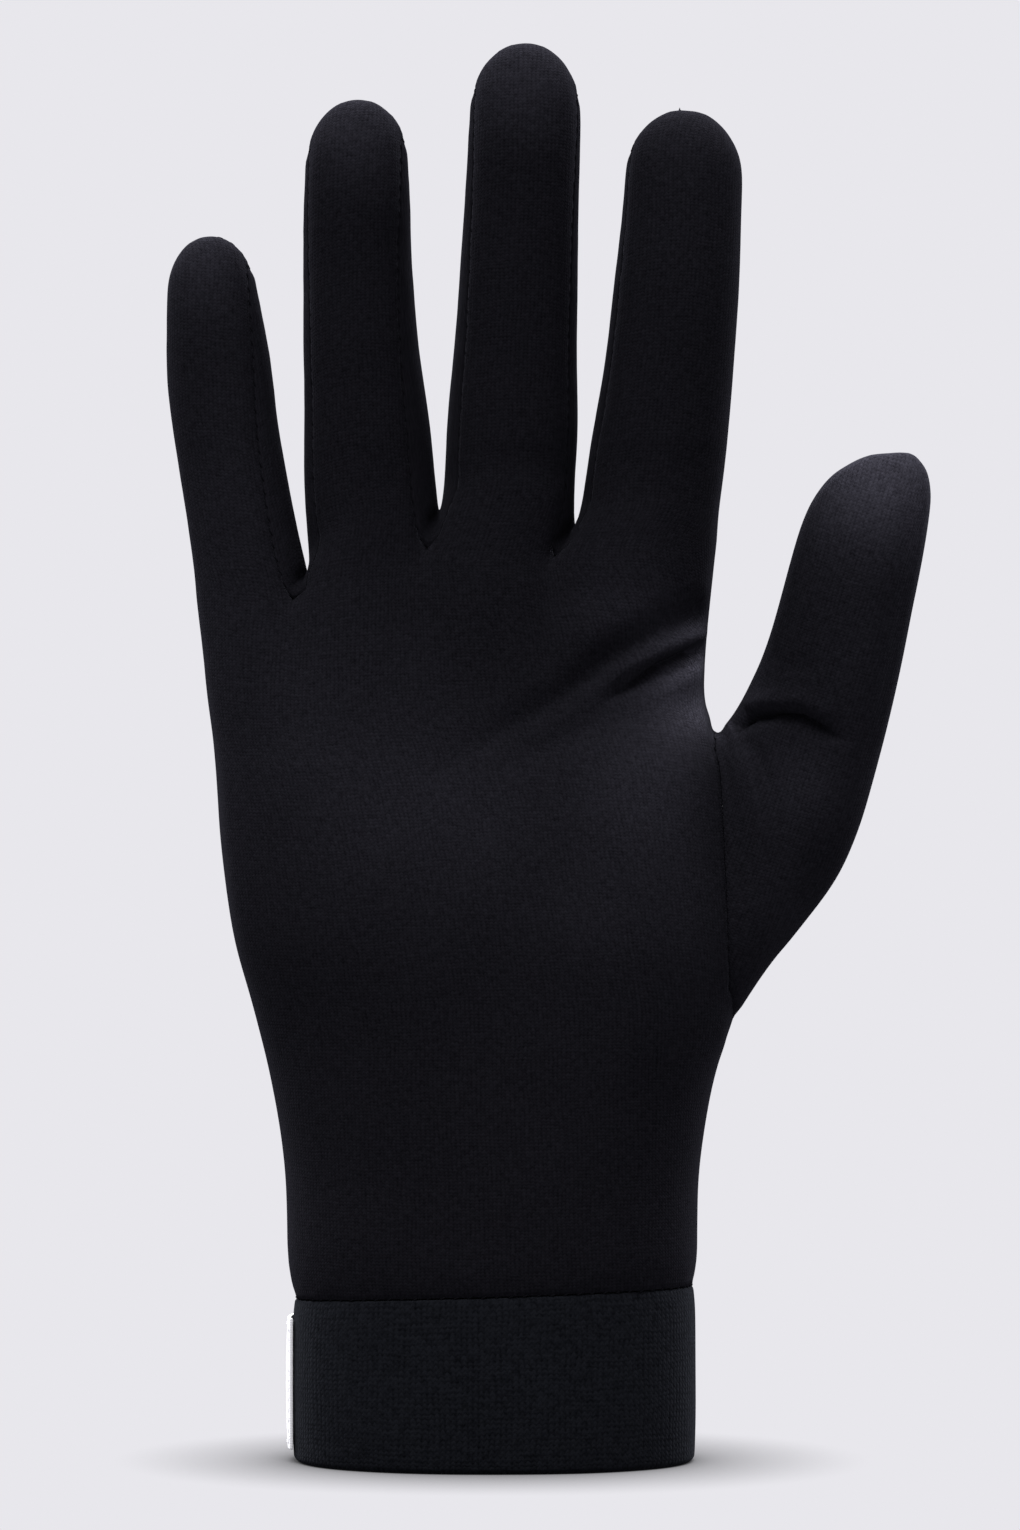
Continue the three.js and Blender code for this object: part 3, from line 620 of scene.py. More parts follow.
    def hand_point(self, column: int, share: float) -> Vector:
        """A point of the hand.

        Args:
            column: The column.
            share: The share of the way up, from the cuff seam to the top ring.

        Returns:
            The point.
        """
        top = self.top_point(column)
        even = self.even_share(column)
        foot = self.section_point(self.section(self.cuff_height), column, even)
        height = mix(self.seam_height(foot.x, foot.y), top.z, share)
        step = (column - HAND_FRONT) / SIDE
        if 0 < step < 1:
            start, end = self.opening()
            rise = self.thumb_seam_rise * bell(share - end, self.rise_reach)
            dip = self.thumb_seam_dip * bell(share - start, self.dip_reach)
            height += (rise - dip) * math.sin(math.pi * step)
        crown = self.section(top.z)
        top_share = (top.x - crown.middle + crown.half) / (2 * crown.half)
        section = self.section(height)
        across = mix(even, top_share, smooth(share)) + self.seam_shift(section, column, height)
        plain = self.section_point(section, column, across)
        plain_top = self.section_point(crown, column, top_share)
        blend = smooth((share - 1 + self.root_blend) / self.root_blend)
        plan = plain + blend * (Vector((top.x, top.y)) - plain_top)
        drawn_in = self.cuff_pinch / (self.cuff_depth / 2)
        plan *= 1 - drawn_in * (1 - smooth(share / self.seam_pucker))
        return Vector((plan.x, plan.y, height))

    def seam_shift(self, section: HandSection, column: int, height: float) -> float:
        """How far a palm column moves across so that the thumb's seam beside it runs straight.

        Args:
            section: The outline at this height.
            column: The column.
            height: The height above the cuff's end.

        Returns:
            The share of the width.
        """
        near = 1 - (HAND_FRONT - column) / self.seam_reach
        if not 0 < near <= 1:
            return 0.0
        start, end = self.thumb_seam_line
        share = (height - start[1]) / (end[1] - start[1])
        (fade_in, rise), (fade_out, fall) = self.seam_line_fade
        fade = smooth((share - fade_in) / rise) * smooth((fade_out - share) / fall)
        wanted = mix(start[0], end[0], clamp(share, *self.seam_line_hold)) - section.middle + section.half
        return (wanted / (2 * section.half) - (1 - self.edge)) * smooth(near) * fade

    def thumb_point(self, crotch: Vector, row: float, angle: float) -> Vector:
        """A point of the thumb's ring.

        Args:
            crotch: The top of the thumb's opening.
            row: The row of the thumb's sections.
            angle: The way round it, from its outer side over the palm.

        Returns:
            The point.
        """
        read = self.thumb_sections.read

        def place(out: str, up: str) -> Vector:
            """One edge of the thumb in the plane of the hand."""
            x = crotch.x + read(out, row) * self.thumb_reach
            return Vector((x, crotch.z + read(up, row) * self.thumb_length))

        across, forward = squarish(angle, self.thumb_square)
        plan = place("in_out", "in_up").lerp(place("out_out", "out_up"), (1 + across) / 2)
        depth = read("depth", row) * self.thumb_depth / 2 * forward
        return Vector((plan.x, -read("forward", row) * self.thumb_forward - depth, plan.y))

    def thumb_tip(self, crotch: Vector) -> Vector:
        """The thumb's tip."""
        x = crotch.x + self.thumb_tip_out * self.thumb_reach
        return Vector((x, -self.thumb_forward, crotch.z + self.thumb_length))

    def cuff_point(self, column: float, inset: float, height: float) -> Vector:
        """A point of the cuff's outline.

        Args:
            column: The column, which may lie between two.
            inset: How far it is drawn in all round.
            height: Its height.

        Returns:
            The point.
        """
        section = self.section(self.cuff_height)
        plan = self.section_point(section, column, self.even_share(column))
        x = plan.x * (1 - inset / section.half)
        return Vector((x, plan.y * (1 - inset / section.front), height))


def ring_angles(corners: Sequence[float], front: int) -> list[float]:
    """All angles of a ring, in the order front, thumb side, back, little-finger side.

    Args:
        corners: Where the front starts and ends, and where the back does, in degrees.
        front: The columns on the front, and on the back.

    Returns:
        The angles in radians.
    """
    left, right, right_back, left_back = corners
    turns = (
        (left, right, front),
        (right, right_back, SIDE),
        (right_back, left_back, front),
        (left_back, left - 360, SIDE),
    )
    return [
        math.radians(mix(start, end, step / count))
        for start, end, count in turns
        for step in range(count)
    ]


def extruded(bm: BMesh, ring: list[BMVert]) -> list[BMVert]:
    """Extrudes a closed ring of vertices.

    Args:
        bm: The mesh.
        ring: The vertices in order.

    Returns:
        The new ring, in the same order and still in the same places.
    """
    edges = [bm.edges.get(pair) for pair in around(ring)]
    made = set(bmesh.ops.extrude_edge_only(bm, edges=edges)["geom"])
    return [
        next(edge.other_vert(vert) for edge in vert.link_edges if edge.other_vert(vert) in made)
        for vert in ring
    ]


def dress_quad(
    bm: BMesh,
    lower: list[BMVert],
    upper: list[BMVert],
    column: int,
    cloth: Sequence[tuple[float, float]],
) -> BMFace:
    """Gives the quad between two rings its cloth coordinates.

    Args:
        bm: The mesh.
        lower: The lower ring.
        upper: The upper ring.
        column: The quad's column.
        cloth: The coordinates of its corners, round from the lower ring's.

    Returns:
        The quad.
    """
    after = (column + 1) % len(lower)
    corners = (lower[column], lower[after], upper[after], upper[column])
    face = bm.faces.get(corners)
    layer = bm.loops.layers.uv[CLOTH]
    for loop in face.loops:
        loop[layer].uv = cloth[corners.index(loop.vert)]
    return face


def shift(moves: dict[BMVert, Vector]) -> None:
    """Moves vertices, once all their moves are known."""
    for vert, move in moves.items():
        vert.co += move


def held(move: Vector, vert: BMVert) -> Vector:
    """A move along the cloth, short enough for the smallest face at a vertex."""
    room = MOVE_SHARE * min(edge.calc_length() for edge in vert.link_edges)
    return move * min(1.0, room / max(move.length, TINY))


@dataclass
class Ring:
    """A ring of the coarse sheet, with its cloth coordinates.

    Args:
        verts: Its vertices in order.
        ups: Each vertex's distance up the cloth.
        centres: For each panel, the ring's column where the panel's cloth starts to be
            measured, and its distance across there.
        axis: For rings that lie aslant, the way that their cloth runs.
    """

    verts: list[BMVert]
    ups: list[float]
    centres: dict[Panel, tuple[float, float]]
    axis: Vector | None = None
    places: list[Vector] = field(init=False)
    arcs: list[float] = field(init=False)
    drift: float = field(init=False)

    def __post_init__(self) -> None:
        """Measures the way round the ring, and up it where it has an axis."""
        self.places = [vert.co.copy() for vert in self.verts]
        self.drift = 0.0
        level = self.places
        if self.axis:
            self.ups = [place.dot(self.axis) for place in self.places]
            level = [place - self.axis * up for place, up in zip(self.places, self.ups)]
            middle = int(next(iter(self.centres.values()))[0])
            self.drift = self.places[middle].dot(Vector((self.axis.z, 0, -self.axis.x)))
        self.arcs = [0.0]
        for first, second in around(level):
            self.arcs.append(self.arcs[-1] + (second - first).length)

    def arc(self, column: float) -> float:
        """The distance round the ring to a column, which may lie between two."""
        low = min(int(column), len(self.arcs) - 2)
        return mix(self.arcs[low], self.arcs[low + 1], column - low)

    def across(self, panel: Panel, column: int) -> tuple[float, float]:
        """The distances across a panel's cloth at both ends of a quad.

        Args:
            panel: The panel.
            column: The quad's column.

        Returns:
            The distances at its start and its end.
        """
        centre, offset = self.centres[panel]
        start, end = self.arcs[column] - self.arc(centre), self.arcs[column + 1] - self.arc(centre)
        offset += self.drift - round((start + end) / 2 / self.arcs[-1]) * self.arcs[-1]
        return start + offset, end + offset


class GloveSheet:
    """The cloth's outer face as one coarse sheet of quads, from the cuff seam to every tip."""

    below_thumb = 12
    above_thumb = 11
    finger_rows = (
        0.045, 0.09, 0.14, 0.19, 0.245, 0.3, 0.355, 0.41, 0.465, 0.52, 0.575, 0.63, 0.685, 0.74,
        0.795, 0.85,
    )
    dome_turns = (17, 34, 50, 66, 79)
    gore_row = 17  # the finger row where a gore ends, on the fingertip's dome
    thumb_rows = 22
    thumb_corners = (140, 40, -40, -140)

    def __init__(self, form: HandForm) -> None:
        """Starts an empty sheet over a hand form."""
        self.form = form
        self.bm = bmesh.new()
        self.cloth = self.bm.loops.layers.uv.new(CLOTH)
        self.hand: list[Ring] = []

    def build(self) -> BMesh:
        """Makes the whole sheet.

        Returns:
            The mesh, whose faces have their panel's number and cloth coordinates in millimetres.
        """
        self._hand()
        self._fingers()
        self._thumb()
        bmesh.ops.recalc_face_normals(self.bm, faces=self.bm.faces[:])
        self._spread()
        return self.bm

    def _raise(self, ring: Ring, places: Sequence[Vector], panel: Callable[[int], Panel]) -> Ring:
        """Extrudes a ring to new places and gives the new quads their panel.

        Args:
            ring: The ring to start from.
            places: Where its vertices go.
            panel: The panel of each column's quad.

        Returns:
            The new ring.
        """
        upper = extruded(self.bm, ring.verts)
        for vert, place in zip(upper, places):
            vert.co = place
        ups = [up + (place - old).length for up, place, old in zip(ring.ups, places, ring.places)]
        risen = Ring(upper, ups, ring.centres, ring.axis)
        for column in range(len(upper)):
            self._dress(ring, risen, column, panel(column))
        return risen

    def _dress(self, lower: Ring, upper: Ring, column: int, panel: Panel) -> None:
        """Gives one quad between two rings its panel and its cloth coordinates.

        Args:
            lower: The lower ring.
            upper: The upper ring.
            column: The quad's column.
            panel: Its panel.
        """
        after = (column + 1) % len(lower.verts)
        low, high = lower.across(panel, column), upper.across(panel, column)
        cloth = (
            (low[0], lower.ups[column]),
            (low[1], lower.ups[after]),
            (high[1], upper.ups[after]),
            (high[0], upper.ups[column]),
        )
        dress_quad(self.bm, lower.verts, upper.verts, column, cloth).material_index = panel

    def _close(self, ring: Ring, tip: Vector, panel: Callable[[int], Panel]) -> None:
        """Closes the last ring of a finger with a rounded tip.

        Args:
            ring: The ring.
            tip: Where the tip is.
            panel: The panel of each column's face.
        """
        verts = ring.verts
        edges = [self.bm.edges.get(pair) for pair in around(verts)]
        cap = bmesh.ops.contextual_create(self.bm, geom=edges)["faces"]
        poked = bmesh.ops.poke(self.bm, faces=cap)
        poked["verts"][0].co = tip
        for face in poked["faces"]:
            rim = [verts.index(loop.vert) for loop in face.loops if loop.vert in verts]
            column = min(rim) if abs(rim[0] - rim[1]) == 1 else max(rim)
            face.material_index = panel(column)
            start, end = ring.across(panel(column), column)
            for loop in face.loops:
                if loop.vert is poked["verts"][0]:
                    reach = (tip - ring.places[column]).length
                    loop[self.cloth].uv = ((start + end) / 2, ring.ups[column] + reach)
                else:
                    index = verts.index(loop.vert)
                    across = start if index == column else end
                    loop[self.cloth].uv = (across, ring.ups[index])

    def _hand(self) -> None:
        """The hand from the cuff seam to the finger roots, with the thumb's opening cut out."""
        start, end = self.form.opening()
        rows = [start * step / self.below_thumb for step in range(self.below_thumb + 1)]
        rows += [mix(start, end, (step + 1) / THUMB_FRONT) for step in range(THUMB_FRONT)]
        rows += [mix(end, 1, (step + 1) / self.above_thumb) for step in range(self.above_thumb)]
        verts = bmesh.ops.create_circle(self.bm, segments=HAND_RING, radius=1)["verts"]
        for column, vert in enumerate(verts):
            vert.co = self.form.hand_point(column, 0)
        centres = {
            Panel.PALM: (HAND_FRONT / 2, 0.0),
            Panel.BACK: (BACK_MIDDLE, 0.0),
        }
        ring = Ring(verts, [vert.co.z for vert in verts], centres)
        self.hand.append(ring)

        def panel(column: int) -> Panel:
            """The palm's cloth wraps round both outer sides."""
            behind = HAND_FRONT + SIDE <= column < HAND_RING - SIDE
            return Panel.BACK if behind else Panel.PALM

        for share in rows[1:]:
            places = [self.form.hand_point(column, share) for column in range(HAND_RING)]
            ring = self._raise(ring, places, panel)
            self.hand.append(ring)
        cut = [
            ring.verts[column]
            for ring in self.hand[self.below_thumb + 1 : self.below_thumb + THUMB_FRONT]
            for column in range(HAND_FRONT + 1, HAND_FRONT + SIDE)
        ]
        bmesh.ops.delete(self.bm, geom=cut, context="VERTS")

    def _fork_lines(self) -> list[list[BMVert]]:
        """The lowest line of each gore, between its two feet on the hand's top ring.

        Returns:
            Each line's vertices, without its feet.
        """
        top = self.hand[-1].verts
        lines = []
        for index in range(len(self.form.forks)):
            front = top[FRONT * (index + 1)]
            back = top[HAND_FRONT + SIDE + FRONT * (FINGER_COUNT - 1 - index)]
            edge = self.bm.edges.new((front, back))
            line = []
            for step in range(1, SIDE):
                edge, vert = bmesh.utils.edge_split(edge, back, 0.5)
                vert.co = self.form.fork_point(index, step / SIDE)
                line.append(vert)
            lines.append(line)
        return lines

    def _finger_panel(self, finger: int, row: int, column: int) -> Panel:
        """The panel of a finger's quad.

        Args:
            finger: The finger's number.
            row: The quad's row.
            column: The quad's column.

        Returns:
            The panel.
        """
        if column < FRONT:
            return Panel.PALM
        if FRONT + SIDE <= column < 2 * FRONT + SIDE:
            return Panel.BACK
        right = column < FRONT + SIDE
        gore = finger if right else finger - 1
        if not 0 <= gore < len(GORES):
            return Panel.PALM
        if row < self.gore_row:
            return GORES[gore]
        step = column - FRONT if right else RING - 1 - column
        return Panel.PALM if step < SIDE / 2 else Panel.BACK

    def _fingers(self) -> None:
        """The four fingers, on the hand's top ring and on the forks between them."""
        top = self.hand[-1]
        lines = self._fork_lines()
        start = self.form.dome_start
        domes = [mix(start, 1, math.sin(math.radians(turn))) for turn in self.dome_turns]
        for finger in self.form.fingers:
            index = finger.index
            first = FRONT * index
            behind = HAND_FRONT + SIDE + FRONT * (FINGER_COUNT - 1 - index)
            outer_right = top.verts[HAND_FRONT + 1 : HAND_FRONT + SIDE]
            outer_left = top.verts[HAND_RING - SIDE + 1 :]
            right = lines[index] if index < len(lines) else outer_right
            left = lines[index - 1][::-1] if index else outer_left
            columns = [*range(first, first + FRONT + 1), *range(behind, behind + FRONT + 1)]
            ups = {top.verts[column]: top.ups[column] for column in columns}
            front = [top.verts[column] for column in columns[: FRONT + 1]]
            back = [top.verts[column] for column in columns[FRONT + 1 :]]
            verts = [*front, *right, *back, *left]
            level = sum(ups.values()) / len(ups)
            centres = {
                Panel.PALM: (FRONT / 2, top.arc(first + FRONT / 2) - top.arc(HAND_FRONT / 2)),
                Panel.BACK: (
                    FRONT * 1.5 + SIDE,
                    top.arc(behind + FRONT / 2) - top.arc(BACK_MIDDLE),
                ),
            }
            if index < len(GORES):
                centres[GORES[index]] = (FRONT + SIDE / 2, 0.0)
            if index:
                centres[GORES[index - 1]] = (RING - SIDE / 2, 0.0)
            ring = Ring(verts, [ups.get(vert, level) for vert in verts], centres)
            for row, share in enumerate((*self.finger_rows, *domes)):
                angles = self.form.finger_angles(finger, share)
                places = [self.form.finger_point(finger, share, angle) for angle in angles]
                ring = self._raise(
                    ring, places, lambda column: self._finger_panel(index, row, column)
                )
            tip = self.form.finger_point(finger, 1, 0)
            self._close(ring, tip, lambda column: self._finger_panel(index, RING, column))

    def _thumb(self) -> None:
        """The thumb, from the edge of its opening in the hand."""
        first = self.below_thumb
        rings = self.hand[first : first + THUMB_FRONT + 1]
        right, behind = HAND_FRONT, HAND_FRONT + SIDE
        verts = [
            *(ring.verts[right] for ring in reversed(rings)),
            *rings[0].verts[right + 1 : behind],
            *(ring.verts[behind] for ring in rings),
            *reversed(rings[-1].verts[right + 1 : behind]),
        ]
        crotch = rings[-1].verts[right + SIDE // 2].co.copy()
        centres = {Panel.THUMB: (THUMB_FRONT / 2, 0.0)}
        axis = (self.form.thumb_tip(crotch) - crotch - self.form.thumb_foot_offset).normalized()
        ring = Ring(verts, [0.0] * len(verts), centres, axis)
        last = self.form.thumb_sections.rows[-1][0]
        for step in range(self.thumb_rows + 1):
            row = last * step / self.thumb_rows
            angles = ring_angles(self.thumb_corners, THUMB_FRONT)
            places = [self.form.thumb_point(crotch, row, angle) for angle in angles]
            ring = self._raise(ring, places, lambda column: Panel.THUMB)
        self._close(ring, self.form.thumb_tip(crotch), lambda column: Panel.THUMB)

    def _spread(self) -> None:
        """Moves each vertex out by what the subdivision will draw it in, and aside a little."""
        self.bm.normal_update()
        moves = {}
        for vert in self.bm.verts:
            rim = vert.is_boundary
            near = [edge.other_vert(vert) for edge in vert.link_edges if not rim or edge.is_boundary]
            mean = sum((other.co for other in near), Vector()) / len(near)
            # A subdivision surface draws a place in by this share of its way to its neighbours.
            drawn_in = 1 / 3 if rim else 6 / (len(near) + 5)
            move = (vert.co - mean) * drawn_in
            lift = vert.normal * move.dot(vert.normal)
            moves[vert] = lift + held(move - lift, vert)
        shift(moves)


def photo_pixel(place: Vector) -> Vector:
    """The photograph's pixel of a place in millimetres."""
    depth = (place.y - CAMERA_PLACE.y) / -CAMERA_PLACE.y * PHOTO_SCALE
    across = PHOTO_WIDTH / 2 + (place.x - CAMERA_PLACE.x) / depth
    return Vector((across, PHOTO_HEIGHT / 2 - (place.z - CAMERA_PLACE.z) / depth))


@dataclass(frozen=True)
class Crease:
    """A fold of the cloth along a line of the photograph.

    Args:
        line: The line's pixels.
        depth: How far it dents the cloth at its deepest. Less than 0 is a ridge.
        above: Its reach above the line, in pixels.
        below: Its reach below the line, in pixels.
        fade: The shares of its length over which it fades in and out.
        sharp: Whether its bottom is a sharp line.
    """

    line: tuple[tuple[float, float], ...]
    depth: float
    above: float
    below: float
    fade: tuple[float, float] = (0.3, 0.4)
    sharp: bool = False
    farthest = 3.0  # reaches past which nothing of it is left
    steepness = 1.5  # of a sharp one's sides

    def nearest(self, pixel: Vector) -> tuple[float, float, bool]:
        """Where a pixel lies beside the fold's line.

        Args:
            pixel: The pixel.

        Returns:
            Its distance, the share of the line's length nearest to it, and whether it is below.
        """
        points = [Vector(point) for point in self.line]
        least, walked, best, below = math.inf, 0.0, 0.0, True
        for first, second in zip(points, points[1:]):
            length = (second - first).length
            line = (second - first) / length
            along = clamp((pixel - first).dot(line), 0, length)
            offset = pixel - first - line * along
            if offset.length < least:
                least, best, below = offset.length, walked + along, offset.y > 0
            walked += length
        return least, best / walked, below

    def dent(self, pixel: Vector) -> float:
        """How far the fold moves the cloth in.

        Args:
            pixel: Where the cloth is.

        Returns:
            The distance in millimetres.
        """
        distance, share, below = self.nearest(pixel)
        reach = self.below if below else self.above
        if distance > self.farthest * reach:
            return 0.0
        strength = self.depth * smooth(share / self.fade[0]) * smooth((1 - share) / self.fade[1])
        if self.sharp:
            return strength * math.exp(-self.steepness * distance / reach)
        return strength * bell(distance, reach)


@dataclass(frozen=True)
class PaintedLightZone:
    """A place where the knit's colour is painted lighter: a painted highlight where light falls on the
    glove.

    Args:
        centre: Its middle, in the photograph's pixels.
        reach: How far it reaches across and up, in pixels.
        strength: How strong it is, from 0 to 1.
        around: Whether it runs round the whole finger, not only its palm side.
    """

    centre: tuple[float, float]
    reach: tuple[float, float]
    strength: float
    around: bool = False

    def at(self, pixel: Vector, facing: float) -> float:
        """How much painted light the zone puts on the cloth at one place.

        Args:
            pixel: The place.
            facing: How fully the cloth there faces the palm's side.

        Returns:
            The painted highlight's strength, from 0 to 1.
        """
        across = (pixel.x - self.centre[0]) / self.reach[0]
        up = (pixel.y - self.centre[1]) / self.reach[1]
        return self.strength * math.exp(-(across**2) - up**2) * (1 if self.around else facing)


@dataclass(frozen=True)
class SeamPull:
    """How the stitches of a seam draw the cloth in.

    Args:
        sink: How deep the seam lies.
        reach: How wide its groove is.
        pucker: How high the puckers between its stitches are.
        pitch: How far apart they are.
        spread: How much wider than the groove they reach.
    """

    sink: float
    reach: float
    pucker: float
    pitch: float
    spread: float = 2.2


@dataclass(frozen=True)
class Unevenness:
    """Soft unevenness of a cloth.

    Args:
        depth: How high it is.
        across: How wide each swelling is.
        up: How tall each swelling is.
        start: Where its pattern starts.
    """

    depth: float
    across: float
    up: float
    start: tuple[float, float, float] = (0, 0, 0)

    def at(self, place: Vector) -> float:
        """How far it moves the cloth at one place."""
        pattern = Vector((place.x / self.across, place.y / self.across, place.z / self.up))
        return self.depth * noise.noise(pattern + Vector(self.start))


@dataclass
class GloveCloth:
    """The jersey body of the liner: palm, back, three gores and the thumb."""

    form: HandForm
    levels: int = 2
    wall: float = 1.0
    seam_gap: float = 0.08
    root_band: tuple[float, float] = (118.0, 172.0)
    root_facing: float = 0.5
    root_margin: float = 1.2
    root_rounds: int = 60
    pole_edges: int = 8
    tip_reach: float = 3.0
    tip_rounds: int = 10
    fine_facing: float = 0.3
    fine_reach: float = 17.0
    fine_margin: float = 0.8
    fine_cuts: int = 2
    loose: Unevenness = Unevenness(0.12, 14, 14, (3, 7, 1))
    seams: "SeamLines" = field(init=False)

    edge_pull = SeamPull(0.35, 1.5, 0.14, 3.1)
    pulls = {
        Seam.CUFF: SeamPull(0.15, 1.6, 0.3, 3.2),
        Seam.GORE: edge_pull,
        Seam.OUTER: edge_pull,
        Seam.THUMB: SeamPull(0.4, 1.6, 0.08, 3.3),
    }
    # The folds at the thumb's web, on the thumb and beside its seam, then the forks' darts.
    creases: tuple[Crease, ...] = (
        Crease(
            ((718, 606), (664, 626), (617, 651), (565, 694), (480, 746), (400, 792)),
            2.5, 16, 11, (0.06, 0.75),
        ),
        Crease(((716, 631), (662, 649), (622, 670), (585, 701)), -1.3, 8, 7, (0.05, 0.5)),
        Crease(((720, 646), (668, 664), (630, 686), (592, 710)), 4.2, 10, 8, (0.02, 0.6), True),
        Crease(((716, 662), (672, 683), (636, 706)), -0.9, 8, 16, (0.1, 0.6)),
        Crease(((640, 700), (590, 724), (530, 753), (470, 775)), 1.0, 20, 14, (0.4, 0.5)),
        Crease(
            ((729, 726), (750, 716), (776, 714), (801, 717), (824, 729), (856, 748)),
            3.4, 9, 8, (0.02, 0.35), True,
        ),
        Crease(((740, 710), (760, 702), (800, 701), (842, 720)), -1.2, 9, 9, (0.1, 0.35)),
        Crease(((770, 672), (800, 664), (830, 668)), 0.4, 10, 10, (0.4, 0.4)),
        Crease(((744, 752), (758, 810), (764, 880), (762, 965)), -0.6, 8, 8, (0.12, 0.25)),
        Crease(((738, 732), (754, 752), (768, 785), (778, 830), (784, 890)), 0.8, 9, 9, (0.1, 0.5)),
        *(
            Crease(line, 1.3, 6, 6, (0.05, 0.2))
            for line in (
                ((308, 574), (298, 588), (288, 600)),
                ((438, 512), (432, 530), (424, 552)),
                ((574, 528), (562, 540), (548, 558)),
            )
        ),
    )

    # Painted highlights: places where the knit's colour is made lighter to stand for light falling on the
    # fingertips, the thumb, its web and the palm.
    painted_light_zones: tuple[PaintedLightZone, ...] = (
        PaintedLightZone((208, 262), (45, 48), 0.22, True),
        PaintedLightZone((355, 125), (56, 50), 0.26, True),
        PaintedLightZone((525, 75), (60, 55), 0.26, True),
        PaintedLightZone((692, 135), (60, 52), 0.11, True),
        PaintedLightZone((884, 484), (66, 60), 0.66, True),
        PaintedLightZone((698, 690), (44, 50), 0.9),
        PaintedLightZone((645, 785), (60, 80), 0.2),
        PaintedLightZone((600, 900), (60, 50), 0.05),
        PaintedLightZone((772, 895), (40, 60), 0.08),
        PaintedLightZone((425, 810), (155, 100), 0.15),
        PaintedLightZone((310, 680), (150, 110), 0.055),
        PaintedLightZone((640, 580), (50, 40), 0.06),
        PaintedLightZone((695, 900), (40, 70), 0.08),
        PaintedLightZone((800, 785), (50, 44), 0.16),
        PaintedLightZone((630, 612), (60, 26), 0.12),
        PaintedLightZone((235, 480), (70, 150), 0.08),
        PaintedLightZone((690, 240), (60, 60), 0.05),
        PaintedLightZone((860, 640), (60, 110), 0.09),
        PaintedLightZone((640, 960), (80, 70), 0.05),
    )

    pieces = {
        Panel.PALM: ("palm_cloth", "palm_panel"),
        Panel.BACK: ("back_cloth", "back_panel"),
        Panel.GORE_LITTLE_RING: ("gore_little_ring", "fourchette_little_ring"),
        Panel.GORE_RING_MIDDLE: ("gore_ring_middle", "fourchette_ring_middle"),
        Panel.GORE_MIDDLE_INDEX: ("gore_middle_index", "fourchette_middle_index"),
        Panel.THUMB: ("thumb_cloth", "thumb"),
    }

    def build(self, finish: "KnitFinish") -> list[Object]:
        """Makes the cloth's six pieces.

        Args:
            finish: The knit of all six.

        Returns:
            The pieces, riding on the part's body.
        """
        fine = subdivided(GloveSheet(self.form).build(), self.levels)
        fine.verts.layers.float.new(PAINTED_LIGHT)
        self.seams = SeamLines(fine)
        self._ease(fine)
        self._sew(fine)
        self._settle(fine)
        self._refine(fine)
        self.seams = SeamLines(fine)
        self._crease(fine)
        self._paint_light(fine)
        self.seams.measure()
        material = finish.material()
        made = [self._piece(fine, panel, material) for panel in Panel]
        fine.free()
        return made

    def _ease(self, bm: BMesh) -> None:
        """Lets the palm and the back run evenly into the fingers, whose roots stand proud."""
        low, high = self.root_band
        band = [
            vert
            for vert in bm.verts
            if low < vert.co.z < high
            and abs(vert.normal.y) > self.root_facing
            and self.seams.nearest(vert.co)[0] > self.root_margin
        ]
        for _ in range(self.root_rounds):
            bmesh.ops.smooth_vert(bm, verts=band, factor=0.5, use_axis_y=True)

    def _sew(self, bm: BMesh) -> None:
        """Draws the cloth in along its seams, with small puckers between the stitches."""
        bm.normal_update()
        moves = {}
        for vert in bm.verts:
            distance, kind = self.seams.nearest(vert.co)
            pull = self.pulls[kind]
            sink = pull.sink * bell(distance, pull.reach)
            ripple = noise.noise(vert.co / pull.pitch) * math.exp(-distance / (pull.spread * pull.reach))
            moves[vert] = vert.normal * (pull.pucker * ripple + self.loose.at(vert.co) - sink)
        shift(moves)

    def _settle(self, bm: BMesh) -> None:
        """Evens out the small faces round each tip, where all of a finger's columns meet."""
        poles = [vert.co.copy() for vert in bm.verts if len(vert.link_edges) > self.pole_edges]
        near = [
            vert
            for vert in bm.verts
            if any((vert.co - pole).length < self.tip_reach for pole in poles)
        ]
        for _ in range(self.tip_rounds):
            bmesh.ops.smooth_vert(
                bm, verts=near, factor=0.5, use_axis_x=True, use_axis_y=True, use_axis_z=True
            )

    def _refine(self, bm: BMesh) -> None:
        """Gives the cloth finer faces round its sharp folds, clear of the seams."""
        bm.normal_update()
        sharp = [crease for crease in self.creases if crease.sharp]
        near = {
            vert
            for vert in bm.verts
            if vert.normal.y < -self.fine_facing
            and any(crease.nearest(photo_pixel(vert.co))[0] < self.fine_reach for crease in sharp)
            and self.seams.nearest(vert.co)[0] > self.fine_margin
        }
        faces = [face for face in bm.faces if all(vert in near for vert in face.verts)]
        edges = list(dict.fromkeys(edge for face in faces for edge in face.edges))
        bmesh.ops.subdivide_edges(bm, edges=edges, cuts=self.fine_cuts, use_grid_fill=True)

    def _crease(self, bm: BMesh) -> None:
        """Folds the palm side where the hand bends."""
        bm.normal_update()
        moves = {}
        for vert in bm.verts:
            facing = palm_side(vert.normal)
            if facing:
                pixel = photo_pixel(vert.co)
                dent = sum(crease.dent(pixel) for crease in self.creases)
                moves[vert] = -vert.normal * dent * facing
        shift(moves)

    def _paint_light(self, bm: BMesh) -> None:
        """Marks where the knit's colour is painted lighter, as painted highlights."""
        bm.normal_update()
        layer = bm.verts.layers.float[PAINTED_LIGHT]
        for vert in bm.verts:
            pixel, facing = photo_pixel(vert.co), palm_side(vert.normal)
            vert[layer] = min(sum(zone.at(pixel, facing) for zone in self.painted_light_zones), 1.0)

